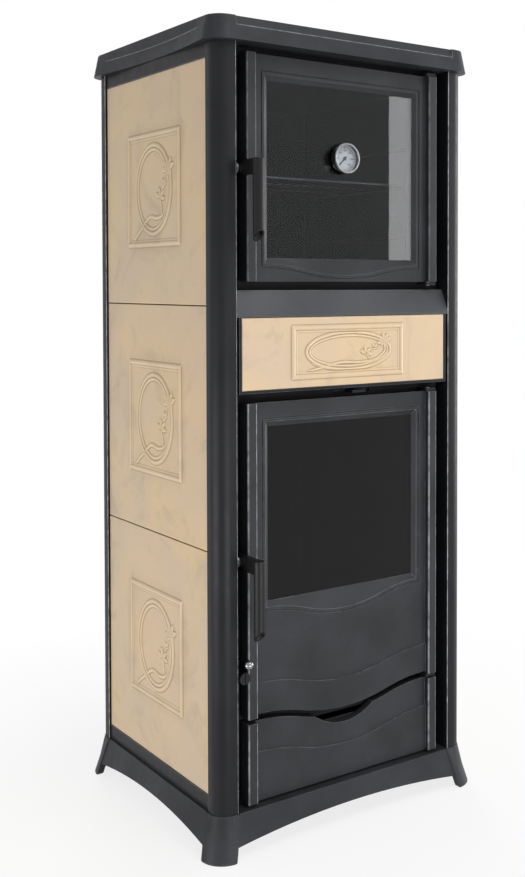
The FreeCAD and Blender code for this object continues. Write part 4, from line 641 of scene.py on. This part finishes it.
# Firebox and smoke way: a welded shell lined with pale firebrick, an iron hearth with grate slots,
# a baffle above the fire, an iron retainer in front of the logs, an ash pan, and the jacket round the oven.
brick_edge = 1.5 * mm
iron_edge = 0.8 * mm
turned_shading = 30.0
brick_group, brick_in, brick_place = effect("Firebrick", {"Pale": black, "Soot": black})
crumbs = noise(brick_group, brick_place, 180.0, 6.0)
licks = noise(brick_group, brick_place, 8.0, 5.0, Distortion=0.8)
sooted = spread_value(brick_group, licks, 0.35, 0.7, 0.25, 0.95)
put_out(brick_group, mixed(brick_group, sooted, brick_in["Pale"], brick_in["Soot"]),
        spread_value(brick_group, crumbs, 0.3, 0.7, 0.8, 0.96), crumbs)
firebrick = dressed("firebrick", brick_group, {"Pale": tone(92, 84, 72), "Soot": tone(26, 25, 24)}, 0.25)
for part in ("refractory_back", "refractory_left", "refractory_right", "baffle_plate"):
    softened(part, brick_edge, firebrick, "body")
for part in ("hearth_grate", "log_retainer"):
    softened(part, iron_edge, cast_paint, "body")
for part in ("firebox_shell", "smoke_jacket", "ash_pan", "drawer_runners"):
    softened(part, thin_edge, soot_steel, "body")
softened("flue_collar", plate_edge, sheet_paint, "body", turned_shading)

# Oven door: a cast frame with raised stiles, a sunk panel and a waved sill under the window.
# Ceramic glass is clipped behind it on a rope seal, and pins top and bottom hang it in the lugs.
# The fire door below it is made alike, with its glass tinted darker than the oven's.
door_edge = 1.0 * mm
door_crease = 7.0
rope_round = 1.5 * mm
pin_edge = 0.6 * mm
# The door and drawer edges get a pale edge colour: partly wear, partly a painted highlight round the windows
# and waves.
door_paint = dressed("door_paint", paint, {
    "Dark": tone(33, 34, 37), "Light": tone(60, 61, 65), "Wear_and_highlight": tone(142, 143, 148), "Grain": 620.0,
    "Dullness": 0.45}, 0.26, Specular_IOR_Level=0.24)
rope_group, rope_in, rope_place = effect("Sealing rope", {"Dark": black, "Light": black})
plait = add_node(rope_group, "ShaderNodeTexWave", {
    "Vector": rope_place, "Scale": 130.0, "Distortion": 1.4, "Detail": 2.0, "Detail Scale": 3.0},
    bands_direction="DIAGONAL").outputs["Fac"]
fluff = noise(rope_group, rope_place, 900.0, 3.0)
put_out(rope_group, mixed(rope_group, plait, rope_in["Dark"], rope_in["Light"]),
        spread_value(rope_group, fluff, 0.3, 0.7, 0.85, 1.0), plait)
rope = dressed("sealing_rope", rope_group, {"Dark": tone(58, 57, 55), "Light": tone(110, 108, 104)}, 0.8)


def ceramic_glass(name, hazy, clear):
    """Clear glass with a faint haze, letting lamp light through to what lies behind it."""
    pane = bpy.data.materials.new(name)
    pane.use_nodes = True
    tree = pane.node_tree
    shader = tree.nodes["Principled BSDF"]
    pane_place = add_node(tree, "ShaderNodeTexCoord").outputs["Object"]
    haze = noise(tree, pane_place, 7.0, 4.0)
    tree.links.new(mixed(tree, haze, hazy, clear), shader.inputs["Base Color"])
    shader.inputs["Roughness"].default_value = 0.0
    shader.inputs["Transmission Weight"].default_value = 1.0
    shader.inputs["IOR"].default_value = 1.3
    through = add_node(tree, "ShaderNodeBsdfTransparent", {"Color": clear})
    lit = add_node(tree, "ShaderNodeLightPath").outputs["Is Shadow Ray"]
    blend = add_node(tree, "ShaderNodeMixShader", {0: lit, 1: shader.outputs[0], 2: through.outputs[0]})
    tree.links.new(blend.outputs[0], tree.nodes["Material Output"].inputs["Surface"])
    return pane


glass = ceramic_glass("ceramic_glass", tone(196, 200, 204), tone(226, 228, 230))
darker_glass = ceramic_glass("darker_glass", tone(104, 105, 107), tone(132, 133, 135))
for door in ("oven", "fire"):
    softened(f"{door}_door_frame", door_edge, door_paint, f"{door}_door",
             angle=door_crease)
    pane_coat = glass if door == "oven" else darker_glass
    softened(f"{door}_door_glass", thin_edge, pane_coat, f"{door}_door")
    softened(f"{door}_glass_clips", thin_edge, zinc, f"{door}_door")
    softened(f"{door}_door_gasket", rope_round, rope, f"{door}_door")
    softened(f"{door}_door_pins", pin_edge, zinc, f"{door}_door", turned_shading)

# Door handles: a flat arm on the pivot and a grip of thick tube cut off at a slant, all painted black.
# The tube is open at its lower end.
grip_edge = 0.6 * mm
grip_paint = dressed("grip_paint", paint, {
    "Dark": tone(12, 12, 14), "Light": tone(22, 22, 25), "Wear_and_highlight": tone(84, 84, 88), "Grain": 900.0,
    "Dullness": 0.40}, 0.16, Specular_IOR_Level=0.24)
for door in ("oven", "fire"):
    softened(f"{door}_door_handle", grip_edge, grip_paint, f"{door}_handle")

# Thermometer: a chromed case clamped through the oven glass, a pale printed dial under a lens,
# and a black needle on a spindle. The scale runs clockwise from the lower left.
bezel_round = 0.9 * mm
dial_rim = 0.3 * mm
needle_edge = 0.1 * mm
chrome = dressed("chrome_plate", polish, {
    "Dark": tone(112, 113, 116), "Light": tone(150, 151, 154), "Dullness": 0.16}, 0.02, Metallic=1.0)
softened("thermometer_case", bezel_round, chrome, "oven_door", turned_shading)
card_group, card_in, card_place = effect("Dial card", {"Pale": black, "Grey": black})
fibre = noise(card_group, card_place, 420.0, 3.0)
put_out(card_group, mixed(card_group, fibre, card_in["Pale"], card_in["Grey"]),
        spread_value(card_group, fibre, 0.3, 0.7, 0.45, 0.6), fibre)
card = dressed("dial_card", card_group, {"Pale": tone(214, 215, 214), "Grey": tone(188, 190, 191)}, 0.05)
ink = dressed("dial_ink", card_group, {"Pale": tone(30, 30, 32), "Grey": tone(18, 18, 20)}, 0.05)
softened("thermometer_dial", dial_rim, card, "oven_door", turned_shading)
softened("thermometer_lens", dial_rim, glass, "oven_door", turned_shading)
softened("thermometer_needle", needle_edge, ink, "thermometer_needle")

dial_low, dial_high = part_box("thermometer_lens")
dial_x = (dial_low.x + dial_high.x) / 2
dial_z = (dial_low.z + dial_high.z) / 2
dial_plate = 1.0 * mm
print_gap = 0.06 * mm
print_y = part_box("thermometer_dial")[1].y - dial_plate - print_gap
ink_depth = 0.08 * mm
tick_reach = 20.5 * mm
tick_count = 31
long_tick = (3.6 * mm, 0.9 * mm)
short_tick = (2.0 * mm, 0.44 * mm)
scale_start = 225.0
scale_sweep = 270.0
marks = bmesh.new()
for step in range(tick_count):
    turn = math.radians(scale_start - scale_sweep * step / (tick_count - 1))
    length, breadth = short_tick if step % 5 else long_tick
    spot = Matrix.Translation((dial_x, print_y, dial_z)) @ Matrix.Rotation(-turn, 4, "Y")
    spot = spot @ Matrix.Translation((tick_reach - length / 2, 0, 0))
    bmesh.ops.create_cube(marks, size=1.0, matrix=spot @ Matrix.Diagonal((length, ink_depth, breadth, 1)))
number_size = 4.6 * mm
number_reach = 13.4 * mm
number_depth = 0.02 * mm
numbers = ("0", "50", "100", "150", "200", "250", "300")
for step, number in enumerate(numbers):
    turn = math.radians(scale_start - scale_sweep * step / (len(numbers) - 1))
    words = bpy.data.curves.new(f"number_{number}", "FONT")
    words.body = number
    words.size = number_size
    words.align_x, words.align_y = "CENTER", "CENTER"
    words.extrude = number_depth
    holder = bpy.data.objects.new(f"number_{number}", words)
    bpy.context.collection.objects.link(holder)
    bpy.context.view_layer.update()
    flat = bpy.data.meshes.new_from_object(holder.evaluated_get(bpy.context.evaluated_depsgraph_get()))
    flat.transform(Matrix.Translation((dial_x + number_reach * math.cos(turn), print_y,
                                       dial_z + number_reach * math.sin(turn)))
                   @ Matrix.Rotation(math.radians(90), 4, "X"))
    marks.from_mesh(flat)
    bpy.data.objects.remove(holder)
    bpy.data.meshes.remove(flat)
placed(marks, "thermometer_marks", ink, "oven_door")

# Drawer: a cast front, waved along its top with a scoop for the fingers, on a folded steel box.
# It runs on the two rails in the base.
softened("drawer_front", door_edge, door_paint, "drawer", angle=door_crease)
softened("drawer_box", thin_edge, soot_steel, "drawer")

# Shaker and air controls: a chromed ball on a rod that shakes the grate, a black dial under it that
# turns the primary air shutter, and a lever under the front tile for the air over the fire.
rod_edge = 0.2 * mm
ball_shading = 50.0
bar_edge = 0.6 * mm
softened("shaker_rod", rod_edge, chrome, "shaker", ball_shading)
softened("shaker_grate", bar_edge, cast_paint, "shaker")
dial = merged("primary_air_dial")
knob_edge = 0.3 * mm
knob_front = min(vert.co.y for vert in dial.verts)
faces_front = -0.9
cut_half = 1.1 * mm
cut_depth = 1.6 * mm
flush = 0.05 * mm


def knob_faces():
    """The faces of the air dial that lie flat at its front."""
    return [face for face in dial.faces if face.normal.y < faces_front
            and abs(face.calc_center_median().y - knob_front) < flush]


knob_x = max(knob_faces(), key=lambda face: face.calc_area()).calc_center_median().x
for side in (-cut_half, cut_half):
    front = knob_faces()
    edges = {edge for face in front for edge in face.edges}
    verts = {vert for face in front for vert in face.verts}
    bmesh.ops.bisect_plane(dial, geom=list(verts) + list(edges) + front, plane_co=(knob_x + side, 0, 0),
                           plane_no=(1, 0, 0))
sink(dial, [face for face in knob_faces() if abs(face.calc_center_median().x - knob_x) < cut_half],
     (0, cut_depth, 0))
placed(rounded(dial, knob_edge), "primary_air_dial_finished", grip_paint, "primary_air",
       ("primary_air_dial",), turned_shading)
softened("secondary_air_lever", thin_edge, sheet_paint, "air_lever")

# Floor and room: a plain pale floor that takes the stove's shadow and fades into a white surround.
# The room is white where it is looked at, also in metal and glass, and fills the shadows with less.
floor_half = 9.0
fill_level = 0.42


def looked_at(tree):
    """1 where a ray comes from the camera, or from metal or glass, and 0 where it only lights."""
    ray = add_node(tree, "ShaderNodeLightPath").outputs
    direct = reckoned(tree, "MAXIMUM", ray["Is Camera Ray"], ray["Is Glossy Ray"])
    return reckoned(tree, "MAXIMUM", direct, ray["Is Transmission Ray"])


floor_mesh = bmesh.new()
bmesh.ops.create_grid(floor_mesh, x_segments=1, y_segments=1, size=floor_half)
floor_data = bpy.data.meshes.new("floor")
floor_mesh.to_mesh(floor_data)
floor_mesh.free()
floor = bpy.data.objects.new("floor", floor_data)
bpy.context.collection.objects.link(floor)
pale = bpy.data.materials.new("pale_floor")
pale.use_nodes = True
floor_tree = pale.node_tree
floor_tree.nodes.remove(floor_tree.nodes["Principled BSDF"])
floor_place = add_node(floor_tree, "ShaderNodeTexCoord").outputs["Object"]
reach = add_node(floor_tree, "ShaderNodeVectorMath", {0: floor_place}, operation="LENGTH").outputs["Value"]
fade = spread_value(floor_tree, reach, 0.4, 1.1, 0.8, 1.0)
white_share = reckoned(floor_tree, "MULTIPLY", looked_at(floor_tree), fade)
matt = add_node(floor_tree, "ShaderNodeBsdfDiffuse", {"Color": (0.86, 0.86, 0.86, 1)})
bright = add_node(floor_tree, "ShaderNodeEmission", {"Color": (1, 1, 1, 1), "Strength": 1.0})
blend = add_node(floor_tree, "ShaderNodeMixShader", {
    0: white_share, 1: matt.outputs[0], 2: bright.outputs[0]})
floor_tree.links.new(blend.outputs[0], floor_tree.nodes["Material Output"].inputs["Surface"])
floor_data.materials.append(pale)

room = bpy.data.worlds.new("room")
room.use_nodes = True
bpy.context.scene.world = room
room_tree = room.node_tree
room_strength = spread_value(room_tree, looked_at(room_tree), 0.0, 1.0, fill_level, 1.0)
room_tree.links.new(room_strength, room_tree.nodes["Background"].inputs["Strength"])
room_tree.nodes["Background"].inputs["Color"].default_value = (1, 1, 1, 1)

# Lamps: soft panels in front of the stove, over it, at both sides, low down and behind it.
# A small one at the front right makes the pale stripe in the oven's glass.
aim_height = 1.4
for name, spot, power, width, height in (
        ("front_lamp", (0.4, -3.5, 0.7), 5.0, 2.0, 1.4),
        ("top_lamp", (0.3, -2.0, 3.2), 38.0, 1.6, 1.2),
        ("window_lamp", (3.01, -3.4, 1.45), 15.0, 0.7, 1.0),
        ("right_lamp", (3.2, -0.75, 1.0), 52.0, 1.2, 2.0),
        ("low_lamp", (-0.2, -1.9, 0.16), 10.0, 1.0, 0.24),
        ("left_lamp", (-1.9, -0.2, 0.2), 11.5, 1.2, 0.3),
        ("back_lamp", (1.3, 3.4, 1.75), 60.0, 1.6, 1.2)):
    lamp = bpy.data.lights.new(name, "AREA")
    lamp.energy = power
    lamp.shape = "RECTANGLE"
    lamp.size = width
    lamp.size_y = height
    lamp_object = bpy.data.objects.new(name, lamp)
    bpy.context.collection.objects.link(lamp_object)
    lamp_object.location = spot
    aim = Vector((0, 0, min(spot[2], aim_height)))
    lamp_object.rotation_euler = (aim - Vector(spot)).to_track_quat("-Z", "Y").to_euler()

# Camera: it stands at the front left, about two thirds of the stove's height up, and looks nearly level.
# The shift sets the stove in the frame.
tilt_down = 1.74
turn_right = 36.733
camera_data = bpy.data.cameras.new("camera")
camera_data.lens = 47.5
camera_data.sensor_width = 36.0
camera_data.shift_x = -0.1230
camera_data.shift_y = -0.1358
camera = bpy.data.objects.new("camera", camera_data)
bpy.context.collection.objects.link(camera)
camera.location = (-1.1352, -1.8028, 0.9116)
camera.rotation_euler = (math.radians(90 - tilt_down), 0, math.radians(-turn_right))
bpy.context.scene.camera = camera
bpy.context.scene.view_settings.view_transform = "Standard"
